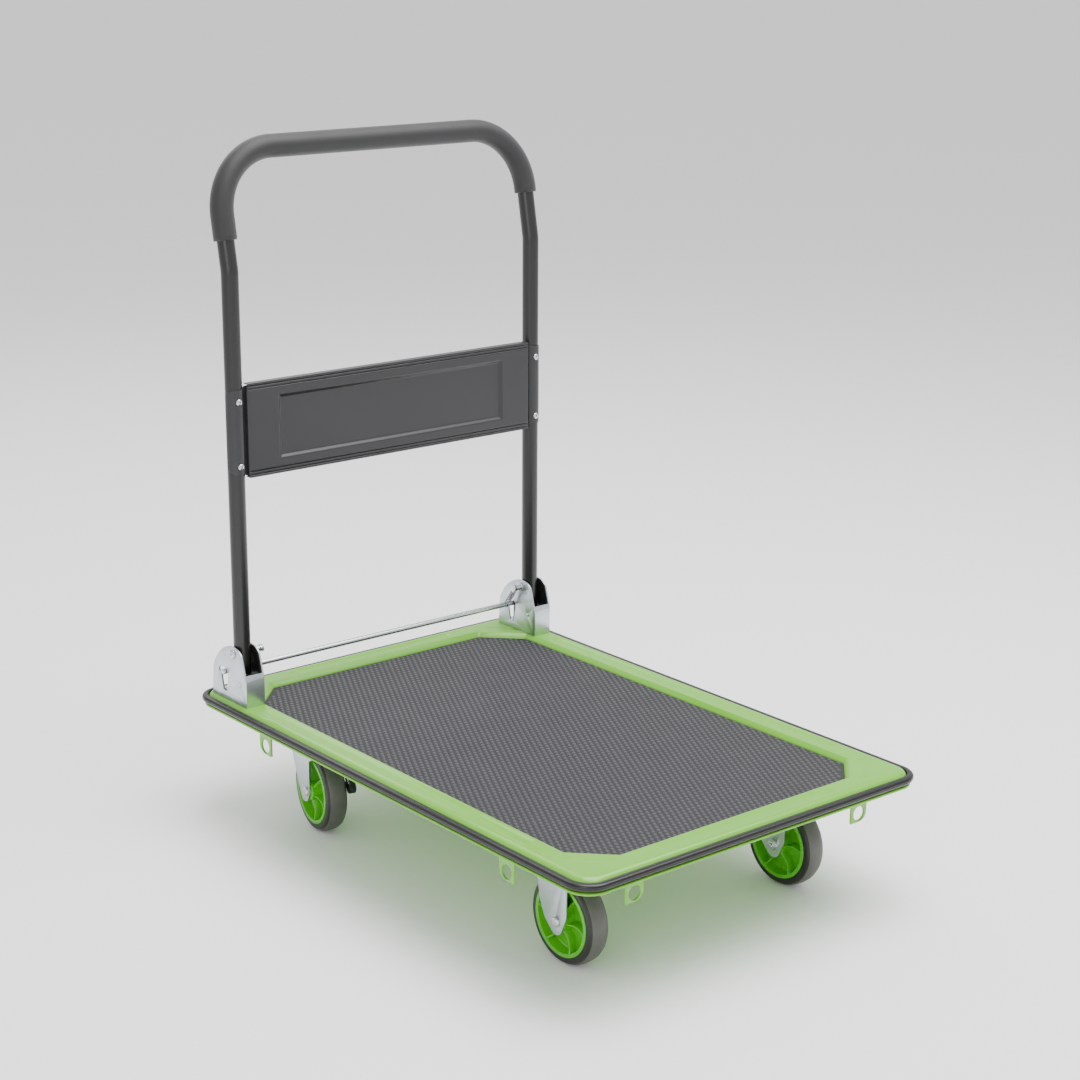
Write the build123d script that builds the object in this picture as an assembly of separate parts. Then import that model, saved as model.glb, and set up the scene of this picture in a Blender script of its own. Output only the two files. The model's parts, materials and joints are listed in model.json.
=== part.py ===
"""Folding platform trolley: pressed-steel deck, fold-down push handle with a lock bar, two rigid and two
braked swivel casters.

Millimetres. The origin is on the floor under the middle of the deck. +X is forward, away from the handle,
+Y is to the left and +Z is up. Each sub-part is written to parts/NAME.step.
"""

from build123d import *
from math import cos, radians, sin, sqrt, tan
import os

# ---------------------------------------------------------------- driving dimensions
# deck
deck_length = 910.0  # over the bumper
deck_width = 610.0  # over the bumper
deck_corner_radius = 40.0  # outside of the bumper
mat_length = 800.0
mat_width = 500.0
mat_thickness = 3.0
mat_height = 182.0  # top of the mat above the floor
mat_front_chamfer = 46.0
mat_rear_chamfer = 54.0
mat_gap = 0.5
rim_rise = 7.0  # border above the mat
rim_slope = 5.0  # width of the slope from the mat up to the border
sheet = 2.0
lip_radius = 12.0
skirt_height = 20.5
hem_width = 5.0
hem_height = 4.0
bumper_width = 9.0
bumper_height = 10.0
bumper_drop = 4.0  # top of the bumper below the border
bumper_round = 3.5
channel_width = 22.0  # pressed along every side of the border
groove_width = 11.0  # pressed across each corner
groove_depth = 1.0
corner_groove_length = 73.0
# cross members
member_width = 112.0
member_length = 500.0
member_wall = 2.5
member_flange = 14.0
# lashing eyes
eye_width = 30.0
eye_thickness = 3.0
eye_hole_radius = 10.0
eye_hole_height = 144.5
eye_bottom = 132.0
eye_inset = 17.5  # middle of the plate, inboard of the deck edge
eye_side_x = 282.0
eye_end_y = 202.0
# casters
wheel_diameter = 125.0
tyre_width = 32.0
rim_diameter = 101.6
rim_wall = 5.0
hub_boss_radius = 14.0
hub_boss_width = 41.0
hub_rim_width = 34.0
hub_web = 5.0
hub_ribs = 6
rib_thickness = 3.0
rib_inset = 5.0
axle_radius = 4.0
sleeve_radius = 7.5
running_gap = 0.05
caster_height = 155.0  # floor to the top of the mounting plate
caster_plate_length = 105.0
caster_plate_width = 80.0
caster_plate = 3.0
caster_bolt_dx = 80.0
caster_bolt_dy = 60.0
fork_gap = 42.0  # between the inner faces of the fork legs
fork_wall = 2.5
front_axle_x = 300.0
front_plate_x = 294.0
swivel_x = -303.0
caster_y = 197.0
trail = 37.0
rear_heading = -9.4  # turn of the swivel casters about +Z
# bracket and lock
leg_y = 271.5
leg_x = -364.0
pivot_height = 264.0
bracket_wall = 2.5
bracket_rear_x = -424.5
bracket_front_x = -330.5
front_plate_top = 228.0
liner_wall = 1.0
liner_gap = 0.5
pivot_radius = 4.0
bush_radius = 5.5
stop_pin_radius = 3.0
stop_pin_x = -348.0
stop_pin_height = 220.5
lock_bar_radius = 4.0
lock_bar_x = -388.0
lock_bar_height = 231.0
lock_travel = 20.0
slot_gap = 1.5
# handle
tube_radius = 12.5
tube_wall = 1.5
handle_height = 1010.0
kink_height = 826.0
kink_angle = 10.5
kink_radius = 52.0
corner_radius = 92.0
grip_radius = 17.0
grip_end_right = 869.0
grip_end_left = 895.0
foot_height = 232.5
panel_bottom = 528.0
panel_top = 666.0
panel_sheet = 1.2
panel_flange = 12.0
panel_recess_depth = 3.0
panel_recess_width = 404.0
panel_recess_height = 90.0
panel_screw_heights = (546.5, 641.0)
panel_screw_radius = 2.4
panel_notch = 7.0  # the wrapped ends are this much shorter at the top and the bottom
# hexagon fasteners: across flats, head height, nut height of M8
m8_flats = 13.0
m8_head = 5.3
m8_nut = 6.5
thin_nut = 4.0
m8_hole_radius = 4.25

# ---------------------------------------------------------------- values worked out from them
border_top = mat_height + rim_rise
mat_bottom = mat_height - mat_thickness
pan_bottom = mat_bottom - sheet
skirt_bottom = border_top - skirt_height
skirt_length = deck_length - 2 * bumper_width
skirt_width = deck_width - 2 * bumper_width
skirt_corner = deck_corner_radius - bumper_width
bumper_top = border_top - bumper_drop
wheel_radius = wheel_diameter / 2
bracket_gap = 2 * (tube_radius + liner_gap + liner_wall)
bracket_half = bracket_gap / 2 + bracket_wall
slot_half = lock_bar_radius + slot_gap
top_bar_height = handle_height - grip_radius
incline = (top_bar_height - kink_height) / cos(radians(kink_angle))
top_bar_x = leg_x - incline * sin(radians(kink_angle))
panel_x = leg_x + tube_radius + 0.1  # rear face of the panel, just clear of the tube's front
parts = {}


# ---------------------------------------------------------------- helpers
def slab(length, width, radius, low, high):
    """A rounded rectangular block centred on the Z axis."""
    return extrude(Plane.XY.offset(low) * RectangleRounded(length, width, radius), amount=high - low)


def mat_outline(offset, height):
    """The eight-sided outline of the mat, grown by offset, at a height."""
    a, b = mat_length / 2 + offset, mat_width / 2 + offset
    cut = offset * (2 - sqrt(2))
    f, r = mat_front_chamfer + cut, mat_rear_chamfer + cut
    points = [(a - f, -b), (a, -b + f), (a, b - f), (a - f, b), (-a + r, b), (-a, b - r), (-a, -b + r), (-a + r, -b)]
    return Plane.XY.offset(height) * Polygon(*points, align=None)


def across(sketch, low, high):
    """A sketch drawn in X and Z, made solid from y = low to y = high."""
    return extrude(Plane.XZ.offset(-high) * sketch, amount=high - low, dir=(0, -1, 0))


def rod_y(radius, x, z, low, high):
    """A round bar along Y."""
    return across(Pos(x, z) * Circle(radius), low, high)


def rod_z(radius, x, y, low, high):
    """A round bar along Z."""
    return extrude(Plane.XY.offset(low) * Pos(x, y) * Circle(radius), amount=high - low)


def hex_z(flats, x, y, low, high):
    """A hexagonal head or nut along Z."""
    return extrude(Plane.XY.offset(low) * Pos(x, y) * RegularPolygon(flats / 2, 6, major_radius=False), amount=high - low)


def hex_y(flats, x, z, low, high):
    """A hexagonal head or nut along Y."""
    return across(Pos(x, z) * RegularPolygon(flats / 2, 6, major_radius=False), low, high)


def span(side, near, far):
    """The pair of Y values from near to far, measured outward on one side."""
    return (near, far) if side > 0 else (-far, -near)


def hull_of(*faces):
    """The convex outline around several flat shapes."""
    edges = ShapeList()
    for face in faces:
        edges += face.edges()
    return make_hull(edges)


def keep(name, *solids):
    """Files solids as one named sub-part."""
    parts.setdefault(name, []).extend(solids)


# ---------------------------------------------------------------- deck
def make_deck():
    outer = slab(skirt_length, skirt_width, skirt_corner, skirt_bottom, border_top)
    outer = fillet(outer.faces().sort_by(Axis.Z)[-1].edges(), lip_radius)
    inner = slab(skirt_length - 2 * sheet, skirt_width - 2 * sheet, skirt_corner - sheet, skirt_bottom, border_top - sheet)
    inner = fillet(inner.faces().sort_by(Axis.Z)[-1].edges(), lip_radius - sheet)
    recess = extrude(mat_outline(mat_gap, mat_bottom), amount=mat_thickness)
    recess += loft([mat_outline(mat_gap, mat_height), mat_outline(rim_slope, border_top)])
    tray = loft([mat_outline(mat_gap + sheet, pan_bottom), mat_outline(rim_slope + sheet, border_top - sheet)])
    hem = slab(skirt_length + 2 * hem_width, skirt_width + 2 * hem_width, skirt_corner + hem_width, skirt_bottom,
               skirt_bottom + hem_height)
    hem -= slab(skirt_length - 2 * sheet, skirt_width - 2 * sheet, skirt_corner - sheet, skirt_bottom,
                skirt_bottom + hem_height)
    deck = outer - (inner - tray) - recess + hem
    for groove in border_grooves():
        deck -= groove
    for side in (-1, 1):
        for x in bracket_bolt_xs():
            deck -= rod_z(m8_hole_radius, x, side * leg_y, pan_bottom - 1, border_top + 1)
    keep("deck", deck)
    keep("deck_mat", extrude(mat_outline(0, mat_bottom), amount=mat_thickness))


def border_grooves():
    """Shallow pressed grooves in the flat of the border."""
    flat = border_top - groove_depth
    rim_mid_y = mat_width / 2 + (rim_slope + skirt_width / 2 - lip_radius - mat_width / 2) / 2
    rim_mid_x = mat_length / 2 + (rim_slope + skirt_length / 2 - lip_radius - mat_length / 2) / 2
    corner_out = 11.0
    corner_x = mat_length / 2 - mat_front_chamfer / 2 + corner_out + rim_slope
    corner_y = mat_width / 2 - mat_front_chamfer / 2 + corner_out + rim_slope
    side_rear = bracket_front_x + 26
    side_front = mat_length / 2 - 83
    end_reach = mat_width / 2 - 93
    for side in (-1, 1):
        middle = Pos((side_rear + side_front) / 2, side * rim_mid_y)
        yield groove_cutter(middle * SlotOverall(side_front - side_rear, channel_width), flat)
        corner = Pos(corner_x, side * corner_y) * Rot(0, 0, -side * 45)
        yield groove_cutter(corner * SlotOverall(corner_groove_length, groove_width), flat)
        end = Pos(side * rim_mid_x, 0) * Rot(0, 0, 90)
        yield groove_cutter(end * SlotOverall(2 * end_reach, channel_width), flat)


def groove_cutter(sketch, floor):
    return extrude(Plane.XY.offset(floor) * sketch, amount=2 * groove_depth)


def make_bumper():
    low = bumper_top - bumper_height
    ring = slab(deck_length, deck_width, deck_corner_radius, low, bumper_top)
    caps = ring.faces().sort_by(Axis.Z)
    ring = fillet(caps[0].edges() + caps[-1].edges(), bumper_round)
    ring -= slab(skirt_length, skirt_width, skirt_corner, low - 1, bumper_top + 1)
    keep("edge_bumper", ring)


def caster_centres():
    """The middle of each caster's mounting plate: (end, side, x, y)."""
    for end, x in (("front", front_plate_x), ("rear", swivel_x)):
        for side in (-1, 1):
            yield end, side, x, side * caster_y


def plate_bolts(x, y):
    """The four bolt places round a caster's middle."""
    return [(x + i * caster_bolt_dx / 2, y + j * caster_bolt_dy / 2) for i in (-1, 1) for j in (-1, 1)]


def make_members():
    half, low = member_width / 2, caster_height
    for name, x in (("front_crossmember", front_plate_x), ("rear_crossmember", swivel_x)):
        outer = Rectangle(member_width, pan_bottom - low, align=(Align.CENTER, Align.MIN))
        inner = Rectangle(member_width - 2 * member_wall, pan_bottom - low, align=(Align.CENTER, Align.MIN))
        flange = Rectangle(member_width + 2 * member_flange, member_wall, align=(Align.CENTER, Align.MAX))
        hat = Pos(0, low) * outer + Pos(0, pan_bottom) * flange - Pos(0, low + member_wall) * inner
        member = across(Pos(x, 0) * hat, -member_length / 2, member_length / 2)
        for end, side, cx, cy in caster_centres():
            if cx != x:
                continue
            for bx, by in plate_bolts(cx, cy):
                member -= rod_z(m8_hole_radius, bx, by, low - 1, low + member_wall + 1)
            if end == "rear":
                member -= rod_z(kingpin_head + 2, cx, cy, low - 1, low + member_wall + 1)
        keep(name, member)


def make_caster_bolts():
    """Bolts up through each caster plate, with nuts inside the cross member."""
    plate_low = caster_height - caster_plate
    web_top = caster_height + member_wall
    for end, side, cx, cy in caster_centres():
        for bx, by in plate_bolts(cx, cy):
            bolt = hex_z(m8_flats, bx, by, plate_low - m8_head, plate_low)
            bolt += rod_z(axle_radius, bx, by, plate_low, web_top + m8_nut + 1.5)
            keep("caster_bolts", bolt)
            nut = hex_z(m8_flats, bx, by, web_top, web_top + m8_nut)
            keep("caster_nuts", nut - rod_z(axle_radius, bx, by, web_top - 1, web_top + m8_nut + 1))


def eye_plate(round_side):
    """One lashing eye standing in the XZ plane, its outer face at y = 0, its tab turned inward (+Y).

    Its lower corner on round_side (-1 or 1) follows the hole, the other is square.
    """
    top = border_top - sheet
    half = eye_width / 2
    plate = Pos(0, eye_hole_height) * Rectangle(eye_width, top - eye_hole_height - 0.8, align=(Align.CENTER, Align.MIN))
    plate += Pos(-round_side * half / 2, eye_bottom) * Rectangle(half, eye_hole_height - eye_bottom, align=(Align.CENTER, Align.MIN))
    plate += Pos(0, eye_hole_height) * Ellipse(half, eye_hole_height - eye_bottom)
    plate += Pos(0, top - 0.8) * Rectangle(eye_width + 8, 22, align=(Align.CENTER, Align.MAX))
    eye = across(plate - Pos(0, eye_hole_height) * Circle(eye_hole_radius), 0, eye_thickness)
    tab = Pos(0, top - 0.8) * Rectangle(eye_width + 8, eye_thickness, align=(Align.CENTER, Align.MAX))
    tab = across(tab, eye_thickness, eye_thickness + 14)
    pad = Pos(0, top) * Rectangle(eye_width + 8, 0.8, align=(Align.CENTER, Align.MAX))
    return eye + tab + across(pad, eye_thickness, eye_thickness + 14)


def make_eyes():
    eye, end_eye = eye_plate(-1), eye_plate(1)
    out_x = deck_length / 2 - eye_inset - bumper_width + eye_thickness / 2
    out_y = deck_width / 2 - eye_inset - bumper_width + eye_thickness / 2 + 8
    for sign in (-1, 1):
        keep("lashing_eyes", Pos(sign * eye_side_x, -out_y, 0) * eye, Pos(sign * eye_side_x, out_y, 0) * Rot(0, 0, 180) * eye)
        keep("lashing_eyes", Pos(out_x, sign * eye_end_y, 0) * Rot(0, 0, 90) * end_eye)
        keep("lashing_eyes", Pos(-out_x, sign * eye_end_y, 0) * Rot(0, 0, -90) * end_eye)


# ---------------------------------------------------------------- handle brackets and lock
def bracket_bolt_xs():
    return (bracket_rear_x + 14, leg_x + 9)


def cheek_outline(inset):
    """The side of the bracket, in X and Z: upright at the back, round over the pivot, sloping to the front plate."""
    rear, front = bracket_rear_x + inset, bracket_front_x - inset
    low = border_top + inset
    shoulder, crown = pivot_height - 32, pivot_height + 11 - inset
    outline = Polyline((front, front_plate_top - inset), (front, low), (rear, low), (rear + 4, shoulder))
    back = ThreePointArc((rear + 4, shoulder), (rear + 20, crown - 18.5), (leg_x - 6, crown))
    top = Line((leg_x - 6, crown), (leg_x + 2, crown))
    nose = ThreePointArc((leg_x + 2, crown), (leg_x + 15, crown - 2.8), (leg_x + 23.5 - inset, crown - 10))
    slope = Line((leg_x + 23.5 - inset, crown - 10), (front, front_plate_top - inset))
    return make_face(outline.edges() + back.edges() + top.edges() + nose.edges() + slope.edges())


def lock_slot(grow=0.0):
    """The slot that the lock bar slides in: a short level head over an upright stem."""
    half = slot_half + grow
    low = lock_bar_height - lock_travel - half
    mouth = Pos(lock_bar_x - 1.5, lock_bar_height - 1) * Rectangle(20 + 2 * grow, 2)
    stem = hull_of(Pos(lock_bar_x - 1, low) * Circle(half), mouth)
    head = Pos(lock_bar_x - 5, lock_bar_height) * SlotOverall(23 + 2 * grow, 2 * half)
    return stem + head


def make_bracket(side, name):
    outline = cheek_outline(0)
    outside = leg_y + bracket_half
    inside = leg_y - bracket_half
    block = across(outline, *span(side, inside, outside))
    hollow = across(
        Pos(0, bracket_wall) * Polyline_face(
            (bracket_rear_x - 9, border_top), (bracket_front_x - bracket_wall, border_top),
            (bracket_front_x - bracket_wall, handle_height), (bracket_rear_x - 9, handle_height)),
        *span(side, inside + bracket_wall, outside - bracket_wall))
    bracket = block - hollow
    low, high = span(side, inside - 1, outside + 1)
    bracket -= across(lock_slot(), low, high)
    bracket -= rod_y(pivot_radius + 0.1, leg_x, pivot_height, low, high)
    bracket -= rod_y(stop_pin_radius, stop_pin_x, stop_pin_height, low, high)
    for x in bracket_bolt_xs():
        bracket -= rod_z(m8_hole_radius, x, side * leg_y, border_top - 1, border_top + bracket_wall + 1)
    bend = bracket.edges().filter_by(Axis.Z).filter_by_position(Axis.X, bracket_front_x - 0.1, bracket_front_x + 0.1)
    keep(name, fillet(bend, 2.0))


def Polyline_face(*points):
    return Polygon(*points, align=None)


def make_liner(side):
    """A black nylon U inside the bracket, between its cheeks and the leg."""
    outer = leg_y + bracket_gap / 2
    inner = leg_y - bracket_gap / 2
    reach = bracket_wall + 1.0
    front = bracket_front_x - bracket_wall
    low = border_top + bracket_wall
    outline = cheek_outline(1.2) & Pos((bracket_rear_x + front) / 2, low) * Rectangle(
        front - bracket_rear_x - 2 * reach, 200, align=(Align.CENTER, Align.MIN))
    outline += Pos(front, low) * Rectangle(reach, front_plate_top - 2 - low, align=(Align.MAX, Align.MIN))
    block = across(outline, *span(side, inner, outer))
    hollow = Pos(front - liner_wall, low - 1) * Rectangle(200, 200, align=(Align.MAX, Align.MIN))
    liner = block - across(hollow, *span(side, inner + liner_wall, outer - liner_wall))
    low_y, high_y = span(side, inner - 1, outer + 1)
    liner -= across(lock_slot(1.0), low_y, high_y)
    liner -= rod_y(pivot_radius + 0.1, leg_x, pivot_height, low_y, high_y)
    liner -= rod_y(stop_pin_radius, stop_pin_x, stop_pin_height, low_y, high_y)
    keep("bracket_liners", liner)


def make_lock_spring(side, name):
    """A tension spring from the pivot bolt down to the lock bar, on the inner side of the bracket."""
    coil_radius, wire, turns, end_gap = 3.6, 0.6, 11, 7.5
    dx, dz = lock_bar_x - leg_x, lock_bar_height - pivot_height
    length = sqrt(dx * dx + dz * dz)
    height = length - 2 * end_gap
    coil = Helix(pitch=height / turns, height=height, radius=coil_radius)
    profile = Plane(origin=coil @ 0, z_dir=coil % 0) * Circle(wire)
    spring = sweep(profile, path=coil, is_frenet=True)
    start = Vector(leg_x + dx * end_gap / length, side * spring_y(), pivot_height + dz * end_gap / length)
    keep(name, Plane(origin=start, x_dir=(0, 1, 0), z_dir=(dx / length, 0, dz / length)) * spring)


def spring_y():
    """The middle of each lock spring, out past the pivot nut."""
    return leg_y - bracket_half - m8_nut - 6.0


def make_brackets():
    for side, word in ((-1, "right"), (1, "left")):
        make_bracket(side, f"handle_bracket_{word}")
        make_liner(side)
        make_lock_spring(side, f"lock_spring_{word}")
        inside, outside = leg_y - bracket_half, leg_y + bracket_half
        bolt = rod_y(pivot_radius, leg_x, pivot_height, *span(side, spring_y() - 4, outside))
        bolt += rod_y(5.5, leg_x, pivot_height, *span(side, outside, outside + 2.2))
        bolt += rod_y(5.5, leg_x, pivot_height, *span(side, spring_y() - 5.5, spring_y() - 4))
        keep("pivot_bolts", bolt)
        nut = hex_y(m8_flats, leg_x, pivot_height, *span(side, inside - thin_nut, inside))
        keep("pivot_nuts", nut - rod_y(pivot_radius, leg_x, pivot_height, *span(side, inside - m8_nut, inside + 1)))
        pin = rod_y(stop_pin_radius, stop_pin_x, stop_pin_height, *span(side, inside - 0.5, outside + 0.5))
        keep("stop_pins", pin)
        for x in bracket_bolt_xs():
            base = border_top + bracket_wall
            screw = hex_z(m8_flats, x, side * leg_y, base, base + m8_head)
            screw += rod_z(axle_radius, x, side * leg_y, border_top - sheet - m8_nut - 2, base)
            keep("bracket_bolts", screw)
            low = border_top - sheet - m8_nut
            nut = hex_z(m8_flats, x, side * leg_y, low, low + m8_nut)
            keep("bracket_nuts", nut - rod_z(axle_radius, x, side * leg_y, low - 1, low + m8_nut + 1))
    reach = leg_y + bracket_half + 4.5
    bar = rod_y(lock_bar_radius, lock_bar_x, lock_bar_height, -reach, reach)
    keep("lock_bar", chamfer(bar.edges().filter_by(GeomType.CIRCLE), 0.8))


# ---------------------------------------------------------------- handle
def handle_path(right_low, left_low):
    """The centre line of the bent handle tube, starting at a height on the right and ending at one on the left."""
    top_right, top_left = (top_bar_x, -leg_y, top_bar_height), (top_bar_x, leg_y, top_bar_height)
    if right_low < kink_height:
        kink_right, kink_left = (leg_x, -leg_y, kink_height), (leg_x, leg_y, kink_height)
        points = [(leg_x, -leg_y, right_low), kink_right, top_right, top_left, kink_left, (leg_x, leg_y, left_low)]
        return FilletPolyline(*points, radius=[kink_radius, corner_radius, corner_radius, kink_radius])
    ends = [(leg_x - (z - kink_height) * tan(radians(kink_angle)), y, z) for y, z in ((-leg_y, right_low), (leg_y, left_low))]
    return FilletPolyline(ends[0], top_right, top_left, ends[1], radius=[corner_radius, corner_radius])


def pipe(path, outer, inner):
    """A round pipe along a path."""
    start = Plane(origin=path @ 0, z_dir=path % 0)
    return sweep(start * Circle(outer), path=path) - sweep(start * Circle(inner), path=path)


def make_handle():
    tube = pipe(handle_path(foot_height, foot_height), tube_radius, tube_radius - tube_wall)
    for side, word in ((-1, "right"), (1, "left")):
        y0, y1 = span(side, leg_y - 2 * tube_radius, leg_y + 2 * tube_radius)
        tube -= rod_y(bush_radius, leg_x, pivot_height, y0, y1)
        for z in panel_screw_heights:
            tube -= screw_hole(side, z, panel_screw_radius)
            keep("panel_screws", panel_screw(side, z))
        bush = rod_y(bush_radius, leg_x, pivot_height, *span(side, leg_y - tube_radius - 0.3, leg_y + tube_radius + 0.3))
        bush -= rod_y(pivot_radius + running_gap, leg_x, pivot_height, y0, y1)
        keep("pivot_bushes", bush)
        plug = rod_z(tube_radius, leg_x, side * leg_y, foot_height - 2, foot_height)
        plug += rod_z(tube_radius - tube_wall, leg_x, side * leg_y, foot_height, foot_height + 14)
        keep("foot_plugs", plug)
    keep("handle_tube", tube)
    grip = pipe(handle_path(grip_end_right, grip_end_left), grip_radius, tube_radius)
    keep("handle_grip", grip)


def screw_hole(side, height, radius):
    return extrude(Plane.YZ.offset(leg_x) * Pos(side * leg_y, height) * Circle(radius), amount=2 * tube_radius)


def panel_screw(side, height):
    face = panel_x + panel_sheet
    head = extrude(Plane.YZ.offset(face) * Pos(side * leg_y, height) * Circle(4.6), amount=2.8)
    head = fillet(head.faces().sort_by(Axis.X)[-1].edges(), 1.6)
    return head + extrude(Plane.YZ.offset(face) * Pos(side * leg_y, height) * Circle(panel_screw_radius), amount=-14)


def panel_wrap(side, half, height):
    """One end of the panel: a step back behind its face, then round the front and the outer side of the leg."""
    clear, outer = tube_radius + 0.1, tube_radius + 0.1 + panel_sheet
    step = tube_radius / 2
    ring = Circle(outer) - Circle(clear)
    reach = Pos(10 - panel_sheet / 2, 10) * Rectangle(20 + panel_sheet, 20) + Pos(step + 10, 0) * Rectangle(20, 60)
    bend = ring & reach
    bend += Pos(step + panel_sheet / 2, half - leg_y - panel_sheet / 2) * Rectangle(
        panel_sheet, leg_y - half - sqrt(clear ** 2 - step ** 2) + panel_sheet / 4, align=(Align.CENTER, Align.MIN))
    bend += Pos(step, half - leg_y - panel_sheet) * Rectangle(outer - step, panel_sheet, align=(Align.MIN, Align.MIN))
    if side < 0:
        bend = mirror(bend, about=Plane.XZ)
    low = (panel_top + panel_bottom - height) / 2
    return extrude(Plane.XY.offset(low) * Pos(leg_x, side * leg_y) * bend, amount=height, dir=(0, 0, 1))


def make_panel():
    middle, height = (panel_top + panel_bottom) / 2, panel_top - panel_bottom
    sheet_metal_ends = []
    half = leg_y - tube_radius - 2.0
    front = panel_x + panel_sheet
    for side in (-1, 1):
        sheet_metal_ends.append(panel_wrap(side, half, height - 2 * panel_notch))
    outline = Pos(0, middle) * Rectangle(2 * half, height)
    sheet_metal = extrude(Plane.YZ.offset(panel_x) * outline, amount=panel_sheet)
    for z in (panel_bottom + panel_sheet / 2, panel_top - panel_sheet / 2):
        edge = Pos(0, z) * Rectangle(2 * half, panel_sheet)
        sheet_metal += extrude(Plane.YZ.offset(panel_x) * edge, amount=-panel_flange)
    for end in sheet_metal_ends:
        sheet_metal += end
    bevel = 4.0
    sheet_metal += recess_block(panel_x, panel_x - panel_recess_depth, panel_sheet, bevel, middle)
    sheet_metal -= recess_block(front, front - panel_recess_depth, 0.0, bevel, middle)
    for side in (-1, 1):
        for z in panel_screw_heights:
            sheet_metal -= screw_hole(side, z, panel_screw_radius)
    keep("handle_panel", sheet_metal)


def recess_block(x_front, x_back, grow, bevel, middle):
    """A shallow pressed field of the panel, as a block with sloping sides."""
    wide, tall = panel_recess_width + 2 * grow, panel_recess_height + 2 * grow
    big = Plane.YZ.offset(x_front) * Pos(0, middle) * RectangleRounded(wide, tall, 8)
    small = Plane.YZ.offset(x_back) * Pos(0, middle) * RectangleRounded(wide - 2 * bevel, tall - 2 * bevel, 5)
    return loft([big, small])


# ---------------------------------------------------------------- casters
kingpin_radius = 6.0
kingpin_head = 10.0
fork_outer = fork_gap / 2 + fork_wall


def make_hub(x, y, turn):
    """The green moulded hub: rim, web, boss and ribs round the sleeve bore, as one solid."""
    rim, bore = rim_diameter / 2, sleeve_radius + running_gap
    half = hub_rim_width / 2
    hub = rod_y(rim, 0, 0, -half, half) - rod_y(rim - rim_wall, 0, 0, -half - 1, half + 1)
    hub += rod_y(rim - rim_wall / 2, 0, 0, -hub_web / 2, hub_web / 2)
    hub += rod_y(hub_boss_radius, 0, 0, -hub_boss_width / 2, hub_boss_width / 2)
    rib_half = half - rib_inset
    for i in range(hub_ribs):
        bar = Pos((rim - rim_wall / 2 + hub_boss_radius / 2) / 2, 0) * Rectangle(rim - rim_wall / 2 - hub_boss_radius / 2, rib_thickness)
        hub += across(Rot(0, 0, 360 * i / hub_ribs + 15) * bar, -rib_half, rib_half)
    hub -= rod_y(bore, 0, 0, -hub_boss_width, hub_boss_width)
    return Pos(x, y, wheel_radius) * Rot(0, 0, turn) * hub


def make_tyre(x, y, turn):
    """A crowned rubber tyre on the hub's rim."""
    half, rim, crown = tyre_width / 2, rim_diameter / 2, wheel_radius
    shoulder = crown - 5.5
    side_a = Line((rim, -half), (shoulder, -half))
    tread = ThreePointArc((shoulder, -half), (crown, 0), (shoulder, half))
    side_b = Line((shoulder, half), (rim, half))
    base = Line((rim, half), (rim, -half))
    profile = make_face(side_a.edges() + tread.edges() + side_b.edges() + base.edges())
    ring = revolve(Plane.XY * profile, axis=Axis.Y)
    ring = fillet(ring.edges().filter_by(GeomType.CIRCLE).sort_by(lambda e: e.radius)[-2:], 2.0)
    return Pos(x, y, wheel_radius) * Rot(0, 0, turn) * ring


def axle_set(side, place, names):
    """Axle bolt with its head outward, nut inward and the spacer sleeve between the fork legs."""
    bolt = rod_y(axle_radius, 0, 0, *span(side, -fork_outer - m8_nut - 2, fork_outer))
    head = rod_y(7.0, 0, 0, *span(side, fork_outer, fork_outer + 3.5))
    rim_edge = head.edges().filter_by(GeomType.CIRCLE).sort_by(Axis.Y)
    head = fillet(rim_edge[-1] if side > 0 else rim_edge[0], 2.5)
    nut = hex_y(m8_flats, 0, 0, *span(side, -fork_outer - m8_nut, -fork_outer))
    nut -= rod_y(axle_radius, 0, 0, -2 * fork_gap, 2 * fork_gap)
    sleeve = rod_y(sleeve_radius, 0, 0, -fork_gap / 2, fork_gap / 2) - rod_y(axle_radius + 0.1, 0, 0, -fork_gap, fork_gap)
    for name, solid in zip(names, (bolt + head, nut, sleeve)):
        keep(name, place * solid)


def plate_with_holes(x, y):
    plate = slab(caster_plate_length, caster_plate_width, 8, caster_height - caster_plate, caster_height)
    plate = Pos(x, y, 0) * plate
    for bx, by in plate_bolts(x, y):
        plate -= rod_z(m8_hole_radius, bx, by, caster_height - caster_plate - 1, caster_height + 1)
    return plate


def make_rigid_caster(side, word):
    """A fixed fork pressed from one plate: the mounting plate and two legs that taper to the axle."""
    y = side * caster_y
    top = caster_height - caster_plate
    round_end = Pos(front_axle_x - 1, wheel_radius - 7) * Circle(12)
    shoulders = Pos(front_axle_x, wheel_radius) * Polyline_face(
        (-45, top - wheel_radius), (-45, top - wheel_radius - 6), (-33.5, 21), (-24.5, -1), (19.5, 10),
        (21, top - wheel_radius))
    leg = hull_of(round_end, shoulders)
    fork = plate_with_holes(front_plate_x, y)
    for flank in (-1, 1):
        fork += across(leg, *span(flank, y * flank + fork_gap / 2, y * flank + fork_outer))
    fork -= rod_y(axle_radius + 0.1, front_axle_x, wheel_radius, y - fork_gap, y + fork_gap)
    keep(f"front_fork_{word}", fork)
    keep(f"front_hub_{word}", make_hub(front_axle_x, y, 0))
    keep(f"front_tyre_{word}", make_tyre(front_axle_x, y, 0))
    axle_set(side, Pos(front_axle_x, y, wheel_radius), ("front_axle_bolts", "front_axle_nuts", "front_axle_sleeves"))


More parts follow.
